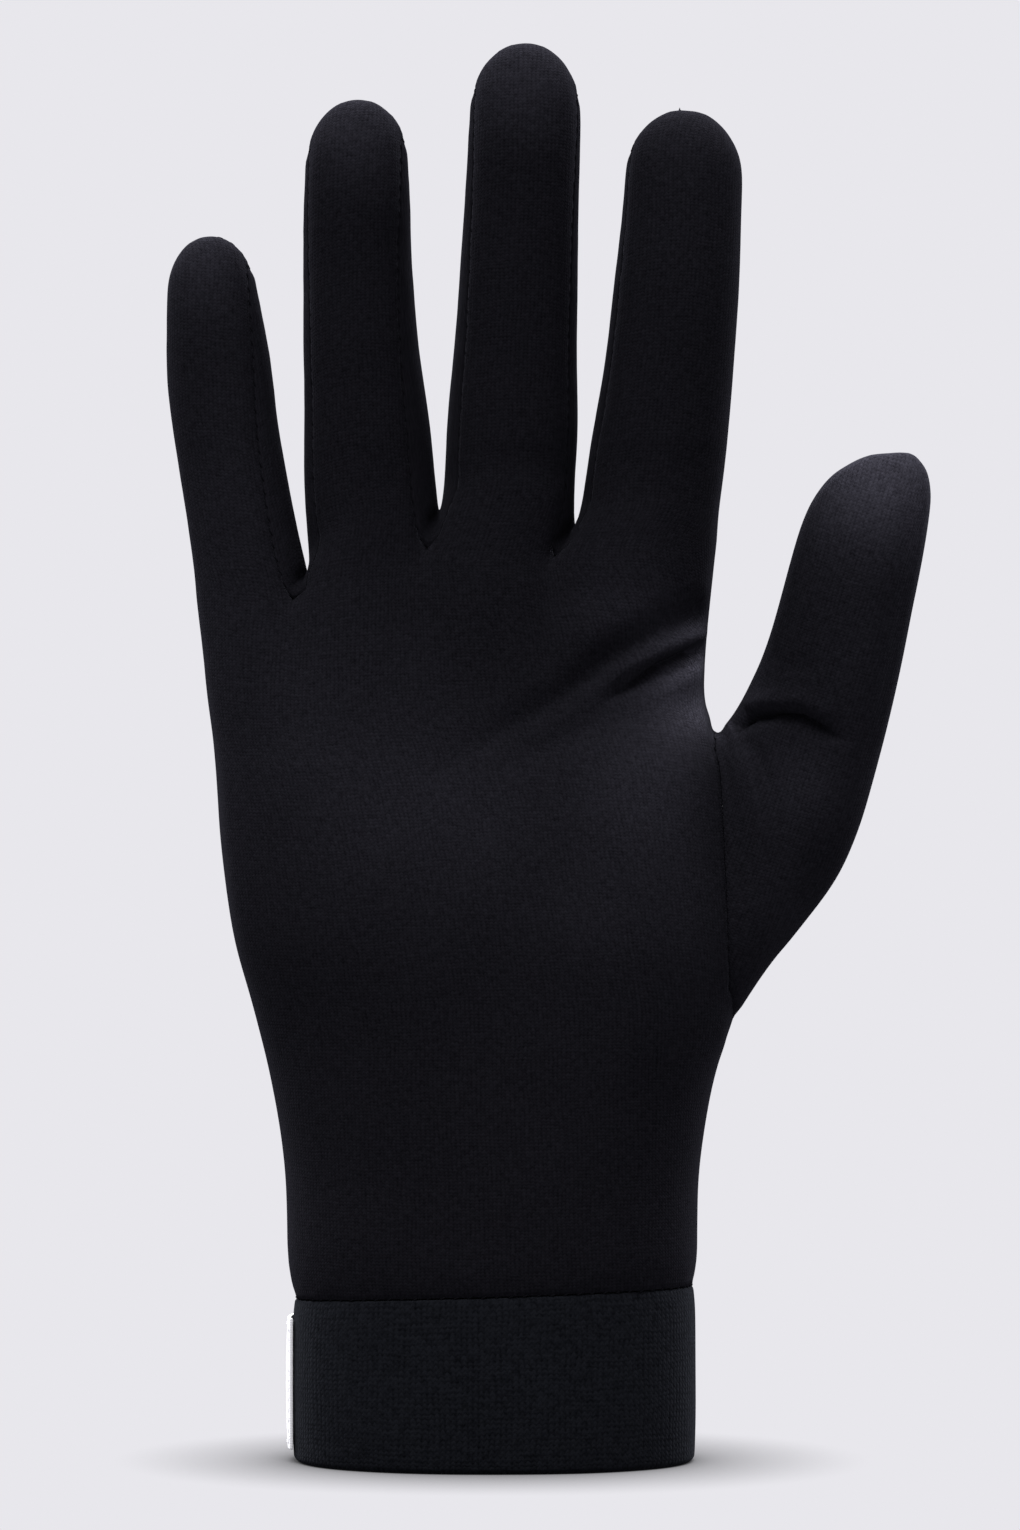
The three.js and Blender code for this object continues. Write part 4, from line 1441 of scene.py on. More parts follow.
    def _piece(self, fine: BMesh, panel: Panel, material: Material) -> Object:
        """Cuts one panel out of the sheet and gives it its wall.

        Args:
            fine: The whole sheet.
            panel: The panel.
            material: Its finish.

        Returns:
            The piece.
        """
        bm = fine.copy()
        other = [face for face in bm.faces if face.material_index != panel]
        bmesh.ops.delete(bm, geom=other, context="FACES")
        for face in bm.faces:
            face.material_index = 0
        draw_back(bm, self.seam_gap / 2)
        name, node = self.pieces[panel]
        piece = finished(bm, name, material, Slot.JERSEY, (node,))
        thicken(piece, self.wall)
        return piece


def placed(name: str, data: ID) -> Object:
    """A new object in the scene, at the origin."""
    thing = bpy.data.objects.new(name, data)
    bpy.context.scene.collection.objects.link(thing)
    return thing


def subdivided(cage: BMesh, levels: int) -> BMesh:
    """Rounds a cage by a subdivision surface.

    Args:
        cage: The coarse mesh, which is used up.
        levels: How often it is divided.

    Returns:
        The fine mesh.
    """
    mesh = bpy.data.meshes.new("cage")
    cage.to_mesh(mesh)
    cage.free()
    for _ in Panel:
        mesh.materials.append(None)
    holder = placed("cage", mesh)
    modifier = holder.modifiers.new("round", "SUBSURF")
    modifier.levels = modifier.render_levels = levels
    graph = bpy.context.evaluated_depsgraph_get()
    rounded = bpy.data.meshes.new_from_object(holder.evaluated_get(graph))
    fine = bmesh.new()
    fine.from_mesh(rounded)
    bpy.data.objects.remove(holder)
    bpy.data.meshes.remove(mesh)
    bpy.data.meshes.remove(rounded)
    return fine


def draw_back(bm: BMesh, distance: float) -> None:
    """Draws an open sheet's edges back in its own surface, by less where its faces are small.

    Args:
        bm: The sheet.
        distance: How far.
    """
    bm.normal_update()
    moves: dict[BMVert, Vector] = {}
    for edge in bm.edges:
        if edge.is_boundary:
            loop = edge.link_loops[0]
            along = (loop.link_loop_next.vert.co - loop.vert.co).normalized()
            for vert in edge.verts:
                inwards = vert.normal.cross(along).normalized()
                moves[vert] = moves.get(vert, Vector()) + inwards * (distance / 2)
    shift({vert: held(move, vert) for vert, move in moves.items()})


def thicken(piece: Object, wall: float) -> None:
    """Gives a sheet its wall in millimetres, drawn inwards."""
    solid = piece.modifiers.new("wall", "SOLIDIFY")
    solid.thickness = wall * MM
    solid.offset = -1.0


def finished(bm: BMesh, name: str, material: Material, slot: Slot, nodes: Iterable[str] = ()) -> Object:
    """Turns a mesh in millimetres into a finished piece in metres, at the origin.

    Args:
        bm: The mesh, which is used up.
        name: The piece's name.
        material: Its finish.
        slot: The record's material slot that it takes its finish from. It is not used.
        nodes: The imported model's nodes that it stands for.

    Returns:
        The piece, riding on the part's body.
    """
    bmesh.ops.scale(bm, verts=bm.verts[:], vec=(MM, MM, MM))
    for layer in bm.loops.layers.uv.values():
        for face in bm.faces:
            for loop in face.loops:
                loop[layer].uv *= MM
    for face in bm.faces:
        face.smooth = True
    mesh = bpy.data.meshes.new(name)
    bm.to_mesh(mesh)
    bm.free()
    mesh.materials.append(material)
    piece = placed(name, mesh)
    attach(piece, BODY)
    if nodes:
        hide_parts(*nodes)
    LOG.info("%s: %d faces", name, len(mesh.polygons))
    return piece


SeamLine = tuple[list[Vector], list[Vector]]  # a seam's places, and the way out of the cloth at each


class SeamLines:
    """The seams of the fine sheet: where two panels meet, and where the cloth meets the cuff."""

    def __init__(self, bm: BMesh) -> None:
        """Finds the seams and makes them quick to search."""
        self.chains: list[tuple[Seam, list[BMVert]]] = []
        self.lines: list[SeamLine] = []
        groups: dict[tuple[str, tuple[int, ...]], list[BMEdge]] = {}
        for edge in bm.edges:
            panels = {face.material_index for face in edge.link_faces}
            kind = self._kind(edge, panels)
            if kind:
                groups.setdefault((kind.value, tuple(sorted(panels))), []).append(edge)
        for (kind, _), edges in sorted(groups.items(), key=lambda item: item[0]):
            self.chains += [(Seam(kind), chain) for chain in self._walk(edges)]
        points = [(vert.co.copy(), kind) for kind, chain in self.chains for vert in chain]
        for kind, chain in self.chains:
            points += [((one.co + two.co) / 2, kind) for one, two in zip(chain, chain[1:])]
        self.kinds = [kind for _, kind in points]
        self.tree = kdtree.KDTree(len(points))
        for index, (place, _) in enumerate(points):
            self.tree.insert(place, index)
        self.tree.balance()

    @staticmethod
    def _kind(edge: BMEdge, panels: set[int]) -> Seam | None:
        """What sort of seam an edge is on.

        Args:
            edge: The edge.
            panels: The panels of its faces.

        Returns:
            The sort, or None where it is on no seam.
        """
        if edge.is_boundary:
            return Seam.CUFF
        if len(panels) < 2:
            return None
        if Panel.THUMB in panels:
            return Seam.THUMB
        return Seam.GORE if max(panels) > Panel.BACK else Seam.OUTER

    @staticmethod
    def _walk(edges: list[BMEdge]) -> list[list[BMVert]]:
        """Joins edges end to end.

        Args:
            edges: The edges of one sort of seam between the same panels.

        Returns:
            The chains of vertices. A closed chain repeats its first.
        """
        near: dict[BMVert, list[BMEdge]] = {}
        for edge in edges:
            for vert in edge.verts:
                near.setdefault(vert, []).append(edge)
        left = dict.fromkeys(edges)
        chains = []
        ends = [vert for vert, joined in near.items() if len(joined) != 2]
        for start in [*ends, *near]:
            while any(edge in left for edge in near[start]):
                chain = [start]
                edge = next(edge for edge in near[start] if edge in left)
                while edge:
                    del left[edge]
                    chain.append(edge.other_vert(chain[-1]))
                    edge = next((edge for edge in near[chain[-1]] if edge in left), None)
                chains.append(chain)
        return chains

    def nearest(self, place: Vector) -> tuple[float, Seam]:
        """The distance from a place to the nearest seam, and what sort it is."""
        _, index, distance = self.tree.find(place)
        return distance, self.kinds[index]

    def measure(self) -> None:
        """Keeps the seams' places and normals once the cloth has its final shape."""
        for _, chain in self.chains:
            for vert in chain:
                vert.normal_update()
        self.lines = [
            ([vert.co.copy() for vert in chain], [vert.normal.copy() for vert in chain])
            for _, chain in self.chains
        ]


def join(bm: BMesh, part: BMesh) -> None:
    """Adds a part to a mesh. The part is used up."""
    mesh = bpy.data.meshes.new("part")
    part.to_mesh(mesh)
    part.free()
    bm.from_mesh(mesh)
    bpy.data.meshes.remove(mesh)


def evenly(
    places: Sequence[Vector], normals: Sequence[Vector], pitch: float
) -> Iterable[tuple[Vector, Vector, Vector]]:
    """Places at even steps along a line.

    Args:
        places: The line's points.
        normals: The way out of the cloth at each.
        pitch: The step.

    Yields:
        Each place, the line's direction there and the way out.
    """
    wanted = pitch / 2
    walked = 0.0
    for first, second, out, out_next in zip(places, places[1:], normals, normals[1:]):
        length = (second - first).length
        while length and wanted <= walked + length:
            share = (wanted - walked) / length
            way = (second - first) / length
            yield first.lerp(second, share), way, out.lerp(out_next, share).normalized()
            wanted += pitch
        walked += length


@dataclass(frozen=True)
class Stitch:
    """One sort of stitch.

    Args:
        pitch: The step from one to the next.
        length: Its length.
        thickness: Its thread's thickness.
        slant: How far it turns across its line, as a slope.
    """

    pitch: float
    length: float
    thickness: float
    slant: float = 0.0

    sides = 8  # of the ball of few faces that each one is
    rings = 5

    def sew(self, bm: BMesh, places: Sequence[Vector], normals: Sequence[Vector]) -> None:
        """Lays stitches at even steps along a line.

        Args:
            bm: The mesh that takes them.
            places: The line's points.
            normals: The way out of the cloth at each.
        """
        for place, along, out in evenly(places, normals, self.pitch):
            aslant = (along + self.slant * out.cross(along)).normalized()
            side = out.cross(aslant).normalized()
            turn = Matrix((aslant, side, aslant.cross(side))).transposed().to_4x4()
            size = Matrix.Diagonal((self.length / 2, self.thickness / 2, self.thickness / 2, 1))
            matrix = Matrix.Translation(place) @ turn @ size
            bmesh.ops.create_uvsphere(
                bm, u_segments=self.sides, v_segments=self.rings, radius=1, matrix=matrix
            )


@dataclass
class SeamThread:
    """The small stitches that show in the seams of the body, a little aslant in their groove."""

    lines: list[SeamLine]
    stitch: Stitch = Stitch(pitch=2.3, length=1.25, thickness=0.26, slant=0.45)

    def build(self, finish: "ThreadFinish") -> Object:
        """Makes all stitches as one piece.

        Args:
            finish: The thread's finish.

        Returns:
            The piece.
        """
        bm = bmesh.new()
        for places, normals in self.lines:
            seam = bmesh.new()
            self.stitch.sew(seam, places, normals)
            join(bm, seam)
        return finished(bm, "seam_thread", finish.material(), Slot.JERSEY)


@dataclass
class CuffBand:
    """The doubled knitted band that closes the wrist."""

    form: HandForm
    columns: int = 2 * HAND_RING
    seam_gap: float = 0.12
    barrel: float = 0.25
    outer_shares: tuple[float, ...] = (
        0.0, 0.04, 0.12, 0.22, 0.32, 0.42, 0.52, 0.62, 0.72, 0.82, 0.9, 0.95, 0.985,
    )
    fold_turns: tuple[float, ...] = (22, 45, 68, 90, 112, 135, 158)
    lip: tuple[tuple[float, float], ...] = ((0.2, 0.1), (0.55, 0.0))
    inner_lip: tuple[float, float] = (0.1, 0.05)
    inner_shares: tuple[float, ...] = (0.94, 0.6, 0.3, 0.0)
    tight_from: float = 0.8
    tight_pinch: float = 0.9
    pucker: Unevenness = Unevenness(0.16, 3.4, 9)
    slack: Unevenness = Unevenness(0.14, 15, 11)

    def build(self, finish: "KnitFinish") -> Object:
        """Makes the band as one closed ring of cloth.

        Args:
            finish: The band's knit.

        Returns:
            The piece.
        """
        bm = bmesh.new()
        bm.loops.layers.uv.new(CLOTH)
        rows = self._profile()
        rings = [bmesh.ops.create_circle(bm, segments=self.columns, radius=1)["verts"]]
        for _ in rows[1:]:
            rings.append(extruded(bm, rings[-1]))
        for verts, row in zip(rings, rows):
            for index, vert in enumerate(verts):
                vert.co = self._place(index * HAND_RING / self.columns, *row)
        ends = [bm.edges.get(pair) for verts in (rings[0], rings[-1]) for pair in around(verts)]
        bmesh.ops.bridge_loops(bm, edges=ends)
        bmesh.ops.recalc_face_normals(bm, faces=bm.faces[:])
        self._measure(bm, rings)
        piece = finished(bm, "cuff_band", finish.material(), Slot.CUFF, ("cuff",))
        round_off = piece.modifiers.new("round", "SUBSURF")
        round_off.levels = round_off.render_levels = 1
        return piece

    def _profile(self) -> list[tuple[float, float, float]]:
        """The band's rows, as inset, share of its height and drop below that."""
        wall = self.form.cuff_wall
        radius = wall / 2
        outer = [(-self.barrel * math.sin(math.pi * share), share, 0.0) for share in self.outer_shares]
        outer += [(inset, 1.0, drop) for inset, drop in self.lip]
        inner = [(wall - self.inner_lip[0], 1.0, self.inner_lip[1])]
        inner += [(wall, share, 0.0) for share in self.inner_shares]
        fold = [
            (radius + radius * math.cos(math.radians(turn)), 0.0, radius * math.sin(math.radians(turn)))
            for turn in self.fold_turns
        ]
        return [*outer, *inner, *fold]

    def _place(self, column: float, inset: float, share: float, drop: float) -> Vector:
        """One point of the band, drawn in and puckered at the seam.

        Args:
            column: The column of the hand, which may lie between two.
            inset: How far it lies inside the band's outline.
            share: The share of the band's height.
            drop: How far it lies below that.

        Returns:
            The point.
        """
        plain = self.form.cuff_point(column, 0, 0)
        top = self.form.seam_height(plain.x, plain.y) - self.seam_gap
        height = mix(self.form.cuff_wall / 2, top, share) - drop
        tight = smooth((share - self.tight_from) / (1 - self.tight_from))
        place = Vector((plain.x, plain.y, height))
        uneven = self.pucker.at(place) * tight + self.slack.at(place)
        pinch = self.form.cuff_pinch * self.tight_pinch * tight**2
        return self.form.cuff_point(column, inset + pinch - uneven, height)

    def _measure(self, bm: BMesh, rings: list[list[BMVert]]) -> None:
        """Gives every face its cloth coordinates: round the band, and up its profile.

        Args:
            bm: The band.
            rings: Its rings, in the profile's order.
        """
        arcs = Ring(rings[0], [0.0] * self.columns, {}).arcs
        low = 0.0
        for lower, upper in around(rings):
            high = low + (upper[0].co - lower[0].co).length
            for column, (start, end) in enumerate(zip(arcs, arcs[1:])):
                cloth = ((start, low), (end, low), (end, high), (start, high))
                dress_quad(bm, lower, upper, column, cloth)
            low = high


@dataclass
class SideLabel:
    """The bare woven label, sewn flat on the cuff's little-finger side."""

    form: HandForm
    height: float = 22.2
    width: float = 24.0
    front: float = 4.8
    lift: float = 2.2
    thickness: float = 0.6
    bow: float = 0.5
    gap: float = 0.3
    columns: int = 36
    rows: int = 30
    edge: float = 0.18
    edge_segments: int = 3
    edge_angle: float = 55.0
    turn_step: float = 0.25
    sewn_in: float = 1.1
    sewn_steps: int = 48
    stitch: Stitch = Stitch(pitch=1.7, length=1.04, thickness=0.26)

    def _outline(self, distance: float) -> tuple[Vector, Vector]:
        """A point of the cuff's outline and the way out of it.

        Args:
            distance: The way round from the cuff's outermost line, towards the back.

        Returns:
            The point and the way out, as (x, y).
        """
        section = self.form.section(self.form.cuff_height)

        def place(turn: float) -> Vector:
            """The outline at an angle."""
            across, forward = squarish(turn, section.square)
            return Vector((section.half * across, -section.front * forward))

        small = math.radians(self.turn_step)
        step = math.copysign(small, distance)
        turn, walked = math.pi, 0.0
        length = (place(turn + step) - place(turn)).length
        while walked + length < abs(distance):
            walked += length
            turn += step
            length = (place(turn + step) - place(turn)).length
        turn += step * (abs(distance) - walked) / length
        along = (place(turn + small) - place(turn - small)).normalized()
        return place(turn), Vector((-along.y, along.x))

    def build(self, finish: "LabelFinish") -> Object:
        """Makes the label.

        Args:
            finish: The label's woven tape.

        Returns:
            The piece.
        """
        bm = bmesh.new()
        bmesh.ops.create_grid(
            bm, x_segments=self.columns, y_segments=self.rows, size=0.5, calc_uvs=False
        )
        bmesh.ops.translate(bm, verts=bm.verts[:], vec=(0.5, 0.5, 0))
        cloth = bm.loops.layers.uv.new(CLOTH)
        for face in bm.faces:
            for loop in face.loops:
                loop[cloth].uv = (loop.vert.co.x * self.width, loop.vert.co.y * self.height)
        for vert in bm.verts:
            vert.co = self._place(vert.co.x, vert.co.y)
        bmesh.ops.recalc_face_normals(bm, faces=bm.faces[:])
        bm.normal_update()
        if sum(face.normal.x for face in bm.faces) > 0:
            bmesh.ops.reverse_faces(bm, faces=bm.faces[:])
        material = finish.material(self.width, self.height)
        piece = finished(bm, "cuff_label", material, Slot.LABEL, ("side_label",))
        thicken(piece, self.thickness)
        bevel = piece.modifiers.new("seam_edge", "BEVEL")
        bevel.width = self.edge * MM
        bevel.segments = self.edge_segments
        bevel.limit_method = "ANGLE"
        bevel.angle_limit = math.radians(self.edge_angle)
        return piece

    def _place(self, across: float, up: float) -> Vector:
        """A point of the label's outer face.

        Args:
            across: The share of its width, from the front.
            up: The share of its height.

        Returns:
            The point.
        """
        point, out = self._outline(across * self.width - self.front)
        crown = (1 - (2 * across - 1) ** 2) * (1 - (2 * up - 1) ** 2)
        plan = point + out * (self.gap + self.thickness + self.bow * crown)
        return Vector((plan.x, plan.y, self.lift + up * self.height))

    def stitches(self, finish: "ThreadFinish") -> Object:
        """Makes the small stitches round the label's edge.

        Args:
            finish: The thread's finish.

        Returns:
            The piece.
        """
        bm = bmesh.new()
        aside, above = self.sewn_in / self.width, self.sewn_in / self.height
        corners = ((aside, above), (1 - aside, above), (1 - aside, 1 - above), (aside, 1 - above))
        shares = [step / self.sewn_steps for step in range(self.sewn_steps + 1)]
        for start, end in around(corners):
            line = [(mix(start[0], end[0], share), mix(start[1], end[1], share)) for share in shares]
            outs = [self._outline(across * self.width - self.front)[1] for across, _ in line]
            normals = [Vector((out.x, out.y, 0)) for out in outs]
            self.stitch.sew(bm, [self._place(across, up) for across, up in line], normals)
        return finished(bm, "label_thread", finish.material(), Slot.LABEL)


Colour = tuple[float, float, float]
Fed = NodeSocket | float | Colour  # what a node's input takes


def scaled(colour: Colour, factor: float) -> Colour:
    """A colour made lighter or darker."""
    return tuple(channel * factor for channel in colour)


class Board:
    """A material's node tree, with short ways to add and join its nodes."""

    def __init__(self, name: str) -> None:
        """Starts a material with an empty tree."""
        self.material = bpy.data.materials.new(name)
        self.material.use_nodes = True
        self.tree = self.material.node_tree
        self.tree.nodes.clear()

    def _feed(self, sockets: Iterable[NodeSocket], values: Iterable[Fed]) -> None:
        """Joins each socket to another, or sets its value.

        Args:
            sockets: The inputs.
            values: What each one gets.
        """
        for socket, value in zip(sockets, values):
            if isinstance(value, NodeSocket):
                self.tree.links.new(value, socket)
            else:
                socket.default_value = (*value, 1.0) if socket.type == "RGBA" else value

    def node(self, kind: str, settings: dict[str, str] | None = None, **inputs: Fed) -> Node:
        """Adds a node.

        Args:
            kind: The node's type.
            settings: Its own properties.
            **inputs: Its inputs by name, with _ for a space, each a value or a socket.

        Returns:
            The node.
        """
        made = self.tree.nodes.new(kind)
        for key, value in (settings or {}).items():
            setattr(made, key, value)
        named = {item.name.lower(): item for item in reversed(made.inputs) if item.enabled}
        self._feed((named[key.replace("_", " ").lower()] for key in inputs), inputs.values())
        return made

    def math(self, operation: str, first: Fed, second: Fed = 0.0) -> NodeSocket:
        """The result of one sum on two values or sockets."""
        made = self.node("ShaderNodeMath", {"operation": operation})
        self._feed(made.inputs, (first, second))
        return made.outputs[0]

    def times(self, first: Fed, second: Fed) -> NodeSocket:
        """One value or socket times another."""
        return self.math("MULTIPLY", first, second)

    def plus(self, first: Fed, second: Fed, weight: float) -> NodeSocket:
        """A first value or socket, plus a second one times its weight."""
        return self.math("ADD", first, self.times(second, weight))

    def noise(self, vector: Fed, scale: float, detail: float = 2.0) -> NodeSocket:
        """Even noise from 0 to 1 over a vector."""
        made = self.node("ShaderNodeTexNoise", Vector=vector, Scale=scale, Detail=detail)
        return made.outputs["Fac"]

    def blend(self, share: Fed, first: Fed, second: Fed) -> NodeSocket:
        """A colour between two, by a share."""
        made = self.node("ShaderNodeMix", {"data_type": "RGBA"})
        self._feed((made.inputs[0], made.inputs[6], made.inputs[7]), (share, first, second))
        return made.outputs[2]

    def end(self, surface: NodeSocket) -> Material:
        """Ends the tree in a surface."""
        self.node("ShaderNodeOutputMaterial", Surface=surface)
        return self.material

    def finish(self, **inputs: Fed) -> Material:
        """Ends the tree in a shader with these inputs."""
        return self.end(self.node("ShaderNodeBsdfPrincipled", **inputs).outputs[0])


@dataclass(frozen=True)
class KnitFinish:
    """Plain knitted cloth, whose columns of loops run up the cloth coordinates.

    Args:
        name: The material's name.
        yarn: The loops' colour.
        hollow: The colour between the loops.
        wale: The width of a column of loops.
        course: The height of a row of loops.
        relief: How far the loops stand proud.
        rough: The roughness, from and to.
        wander: How far the columns and rows stray.
        sheen: The strength of the soft light on its fibres.
        sheen_tint: The colour of that light.
        specular: The strength of its gloss.
        streak: How strongly uneven yarn shows.
        painted_light: How much lighter its colour is painted at the strongest painted highlights.
    """

    name: str
    yarn: Colour
    hollow: Colour
    wale: float
    course: float
    relief: float
    rough: tuple[float, float]
    wander: float
    sheen: float
    sheen_tint: Colour
    specular: float
    streak: float = 0.85
    # how much lighter the painted highlights make the knit's colour
    painted_light: float = 7.0

    wander_scales = (150.0, 190.0)
    leg_lean = 1.1
    fuzz_scale = 2200.0
    fuzz_detail = 3.0
    patch_scale = 60.0
    patch_detail = 4.0
    streak_scales = ((0.5, 1.6), (1.6, 0.5))
    streak_height = 1.3
    fuzz_height = 0.7
    single_shade = 0.22
    height_shade = 0.4
    patch_shade = 0.3
    shade_range = (0.9, 1.8)
    sheen_rough = 0.45

    def material(self) -> Material:
        """Builds the cloth's material."""
        board = Board(self.name)
        cloth = board.node("ShaderNodeUVMap", {"uv_map": CLOTH}).outputs[0]
        place = board.node("ShaderNodeTexCoord").outputs["Object"]
        split = board.node("ShaderNodeSeparateXYZ", Vector=cloth)
        across, up = (
            board.plus(socket, board.noise(place, scale), self.wander * MM)
            for socket, scale in zip(split.outputs, self.wander_scales)
        )
        across = board.times(across, 1 / (self.wale * MM))
        up = board.times(up, 1 / (self.course * MM))
        leg = board.math("ABSOLUTE", board.math("SUBTRACT", board.math("FRACT", across), 0.5))
        slant = board.plus(up, leg, self.leg_lean)
        loop = board.math("SINE", board.times(board.math("FRACT", slant), math.pi))
        column = board.math("SUBTRACT", 1.0, board.math("POWER", board.times(leg, 2.0), 2.0))
        height = board.plus(board.times(column, 0.5), loop, 0.5)
        fuzz = board.noise(place, self.fuzz_scale, self.fuzz_detail)
        streaks = self._streaks(board, across, up)
        height = board.plus(height, streaks, self.streak_height)
        height = board.plus(height, fuzz, self.fuzz_height)
        patch = board.noise(place, self.patch_scale, self.patch_detail)
        shade = board.times(self._single(board, across, slant), self.single_shade)
        shade = board.plus(shade, height, self.height_shade)
        shade = board.plus(shade, streaks, self.streak)
        shade = board.plus(shade, patch, self.patch_shade)
        low, high = self.shade_range
        shade = board.node("ShaderNodeMapRange", Value=shade, From_Min=low, From_Max=high).outputs[0]
        # The knit's colour and a lighter copy of it (drawn) for the painted highlights. The painted-light
        # attribute blends between them.
        plain_tone = board.blend(shade, self.hollow, self.yarn)
        drawn = board.blend(shade, scaled(self.hollow, self.painted_light), scaled(self.yarn, self.painted_light))
        painted_light = board.node("ShaderNodeAttribute", {"attribute_name": PAINTED_LIGHT}).outputs["Fac"]
        colour = board.blend(painted_light, plain_tone, drawn)
        bump = board.node("ShaderNodeBump", Strength=1.0, Distance=self.relief * MM, Height=height)
        low, high = self.rough
        rough = board.node("ShaderNodeMapRange", Value=patch, To_Min=low, To_Max=high).outputs[0]
        return board.finish(
            Base_Color=colour,
            Roughness=rough,
            Normal=bump.outputs[0],
            Specular_IOR_Level=self.specular,
            Sheen_Weight=self.sheen,
            Sheen_Roughness=self.sheen_rough,
            Sheen_Tint=self.sheen_tint,
        )

    @staticmethod
    def _single(board: Board, across: Fed, up: Fed) -> NodeSocket:
        """A number of its own for every loop."""
        cell = board.node("ShaderNodeCombineXYZ", X=board.math("FLOOR", across), Y=board.math("FLOOR", up))
        number = board.node("ShaderNodeTexWhiteNoise", {"noise_dimensions": "2D"}, Vector=cell.outputs[0])
        return number.outputs["Value"]

    def _streaks(self, board: Board, across: Fed, up: Fed) -> NodeSocket:
        """Uneven yarn, as short streaks along the rows and up the columns of loops.

        Args:
            board: The material.
            across: The columns of loops.
            up: The rows of loops.

        Returns:
            The unevenness, from 0 to 1.
        """
        parts = []
        for along_rows, along_columns in self.streak_scales:
            drawn_out = board.node(
                "ShaderNodeCombineXYZ", X=board.times(across, along_rows), Y=board.times(up, along_columns)
            )
            parts.append(board.noise(drawn_out.outputs[0], 1.0, 1.0))
        return board.times(board.math("ADD", *parts), 0.5)


@dataclass(frozen=True)
class ThreadFinish:
    """Spun sewing thread, with its twist as a fine relief."""

    name: str
    light: Colour
    dark: Colour

    ply_scale = 3200.0
    ply_detail = 3.0
    relief = 0.05
    depth = 0.6
    rough = 0.9

    def material(self) -> Material:
        """Builds the thread's material."""
        board = Board(self.name)
        place = board.node("ShaderNodeTexCoord").outputs["Object"]
        ply = board.noise(place, self.ply_scale, self.ply_detail)
        colour = board.blend(ply, self.dark, self.light)
        bump = board.node("ShaderNodeBump", Strength=self.depth, Distance=self.relief * MM, Height=ply)
        return board.finish(
            Base_Color=colour, Roughness=self.rough, Normal=bump.outputs[0], Specular_IOR_Level=0.0
        )


@dataclass(frozen=True)
class LabelFinish:
    """Woven satin tape: a grey field in a white border, with nothing written on it."""

    field_colour: Colour = (0.2, 0.205, 0.22)
    field_shade: Colour = (0.13, 0.135, 0.15)
    border_colour: Colour = (0.78, 0.78, 0.8)
    border_shade: Colour = (0.55, 0.55, 0.58)
    border: float = 4.3
    thread: float = 0.28
    relief: float = 0.04
    ribs: float = 0.6

    shade_gain = 0.3
    depth = 0.7
    rough = 0.62
    specular = 0.3
    sheen = 0.1
    sheen_rough = 0.4

    def material(self, width: float, height: float) -> Material:
        """Builds the label's material.

        Args:
            width: The label's width in millimetres.
            height: Its height.

        Returns:
            The material.
        """
        board = Board("label_tape")
        cloth = board.node("ShaderNodeUVMap", {"uv_map": CLOTH}).outputs[0]
        split = board.node("ShaderNodeSeparateXYZ", Vector=cloth)
        weave, inner = [], []
        for socket, size in zip(split.outputs, (width, height)):
            far = board.math("SUBTRACT", size * MM, socket)
            inner.append(board.math("MINIMUM", socket, far))
            wave = board.times(socket, 2 * math.pi / (self.thread * MM))
            weave.append(board.math("SINE", wave))
        inside = board.math("GREATER_THAN", board.math("MINIMUM", *inner), self.border * MM)
        woven = board.plus(board.times(*weave), weave[1], self.ribs)
        shade = board.math("ADD", board.times(woven, self.shade_gain), 0.5)
        field_tone = board.blend(shade, self.field_shade, self.field_colour)
        border_tone = board.blend(shade, self.border_shade, self.border_colour)
        colour = board.blend(inside, border_tone, field_tone)
        bump = board.node("ShaderNodeBump", Strength=self.depth, Distance=self.relief * MM, Height=woven)
        return board.finish(
            Base_Color=colour,
            Roughness=self.rough,
            Normal=bump.outputs[0],
            Specular_IOR_Level=self.specular,
            Sheen_Weight=self.sheen,
            Sheen_Roughness=self.sheen_rough,
        )


@dataclass(frozen=True)
class SoftLight:
    """A broad, far light: the same on the whole floor.

    Args:
        name: The light's name.
        azimuth: Where it stands, in degrees from the camera's side towards the thumb.
        elevation: Its height, in degrees.
        strength: Its strength on a surface that faces it.
        spread: Its width, in degrees.
        colour: Its colour.
    """

    name: str
    azimuth: float
    elevation: float
    strength: float
    spread: float
    colour: Colour = (1.0, 1.0, 1.0)

    def direction(self) -> Vector:
        """The way from the glove to the light."""
        around, up = math.radians(self.azimuth), math.radians(self.elevation)
        level = math.cos(up)
        return Vector((math.sin(around) * level, -math.cos(around) * level, math.sin(up)))

    def build(self) -> None:
        """Adds the light to the scene."""
        light = bpy.data.lights.new(self.name, "SUN")
        light.energy = self.strength
        light.angle = math.radians(self.spread)
        light.color = self.colour
        placed(self.name, light).rotation_euler = self.direction().to_track_quat("Z", "Y").to_euler()


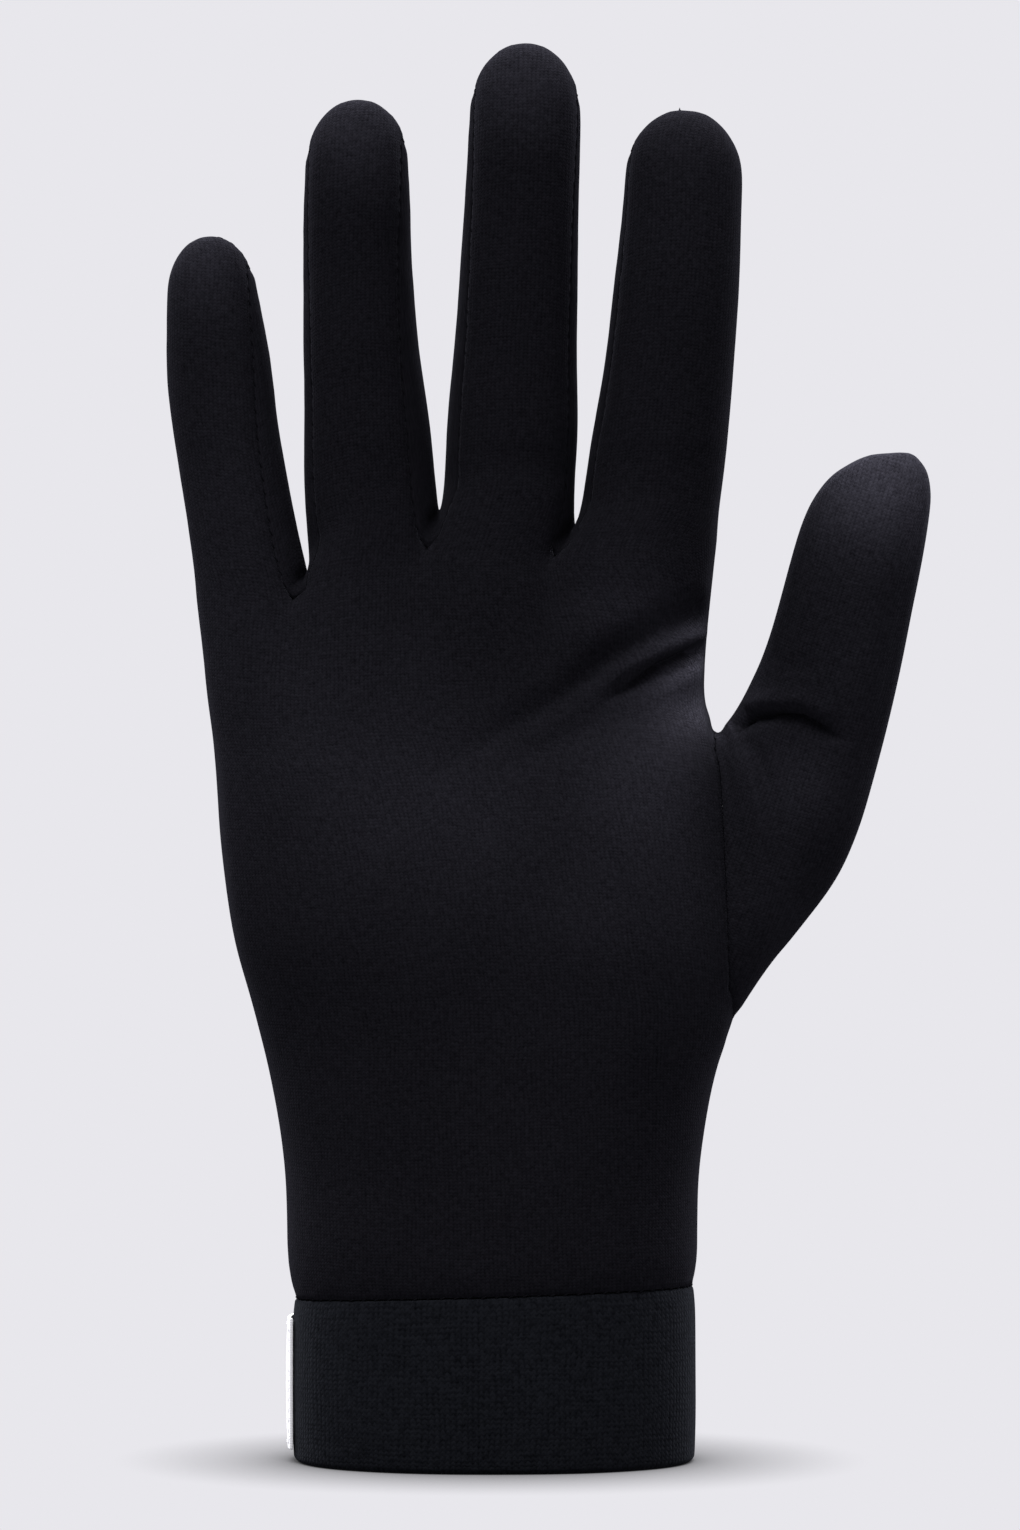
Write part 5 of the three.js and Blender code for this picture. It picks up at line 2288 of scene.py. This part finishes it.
@dataclass
class Studio:
    """The plain pale floor, the soft light around it and the camera."""

    tone: Colour = (0.807, 0.799, 0.839)
    floor_radius: float = 60.0
    floor_sides: int = 96
    # reach and strength of the painted contact shadow in the floor's glow
    shade_reach: float = 30.0
    shade_power: float = 1.7
    lights: tuple[SoftLight, ...] = (
        SoftLight("top_front", -28, 64, 3.2, 30),
        SoftLight("back_right", 140, 45, 10.0, 50),
        SoftLight("back_left", -140, 45, 8.0, 50),
    )

    def build(self) -> None:
        """Sets up the stage."""
        self._world()
        for light in self.lights:
            light.build()
        self._floor()
        self._camera()

    def _world(self) -> None:
        """An even pale surround."""
        world = bpy.data.worlds.new("surround")
        world.use_nodes = True
        sky = world.node_tree.nodes["Background"]
        sky.inputs[0].default_value = (*self.tone, 1.0)
        sky.inputs[1].default_value = 1.0
        bpy.context.scene.world = world
        view = bpy.context.scene.view_settings
        view.view_transform = "Standard"
        view.look = "None"

    def _floor(self) -> None:
        """A wide glowing floor, as bright as the surround, so that no horizon shows, with a painted
        contact shadow where ambient occlusion finds the glove close.
        """
        bm = bmesh.new()
        bmesh.ops.create_circle(
            bm, cap_ends=True, segments=self.floor_sides, radius=self.floor_radius
        )
        mesh = bpy.data.meshes.new("floor")
        bm.to_mesh(mesh)
        bm.free()
        board = Board("floor")
        # Painted contact shadow: the floor's glow is darkened by ambient occlusion under and beside the
        # cuff.
        shade = board.node("ShaderNodeAmbientOcclusion", Distance=self.shade_reach * MM).outputs["AO"]
        colour = board.blend(board.math("POWER", shade, self.shade_power), (0.0, 0.0, 0.0), self.tone)
        glow = board.node("ShaderNodeEmission", Color=colour, Strength=1.0)
        mesh.materials.append(board.end(glow.outputs[0]))
        placed("floor", mesh)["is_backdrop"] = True

    def _camera(self) -> None:
        """The camera at the photograph's place, looking level at the palm."""
        data = bpy.data.cameras.new("camera")
        data.sensor_fit = "VERTICAL"
        data.sensor_height = SENSOR
        data.lens = SENSOR * -CAMERA_PLACE.y / (PHOTO_HEIGHT * PHOTO_SCALE)
        camera = placed("camera", data)
        camera.location = CAMERA_PLACE * MM
        camera.rotation_euler = (math.radians(90), 0, 0)
        bpy.context.scene.camera = camera


JERSEY = KnitFinish(
    name="jersey",
    yarn=(0.0070, 0.0068, 0.0088),
    hollow=(0.0024, 0.0023, 0.0030),
    wale=0.72,
    course=0.58,
    relief=0.07,
    rough=(0.8, 0.95),
    wander=0.9,
    sheen=0.012,
    sheen_tint=(0.8, 0.8, 1.0),
    specular=0.0,
)
CUFF_KNIT = KnitFinish(
    name="cuff_knit",
    yarn=(0.0062, 0.0067, 0.0085),
    hollow=(0.0012, 0.0013, 0.0017),
    wale=0.95,
    course=0.85,
    relief=0.12,
    rough=(0.8, 0.95),
    wander=1.3,
    sheen=0.02,
    sheen_tint=(0.8, 0.85, 1.0),
    specular=0.0,
    streak=1.3,
)
SEAM_THREAD = ThreadFinish("seam_thread", (0.0052, 0.005, 0.0064), (0.0016, 0.0016, 0.002))
LABEL_THREAD = ThreadFinish("label_thread", (0.75, 0.75, 0.77), (0.5, 0.5, 0.53))


def main() -> None:
    """Builds the liner and its studio."""
    logging.basicConfig(level=logging.INFO, format="%(name)s: %(message)s")
    Studio().build()
    form = HandForm()
    cloth = GloveCloth(form)
    cloth.build(JERSEY)
    SeamThread(cloth.seams.lines).build(SEAM_THREAD)
    CuffBand(form).build(CUFF_KNIT)
    label = SideLabel(form)
    label.build(LabelFinish())
    label.stitches(LABEL_THREAD)
    boxes = {"cad": CAD_BOX, "visual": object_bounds()}
    {name: [list(corner) for corner in box] for name, box in boxes.items()}


if __name__ == "__main__":
    main()
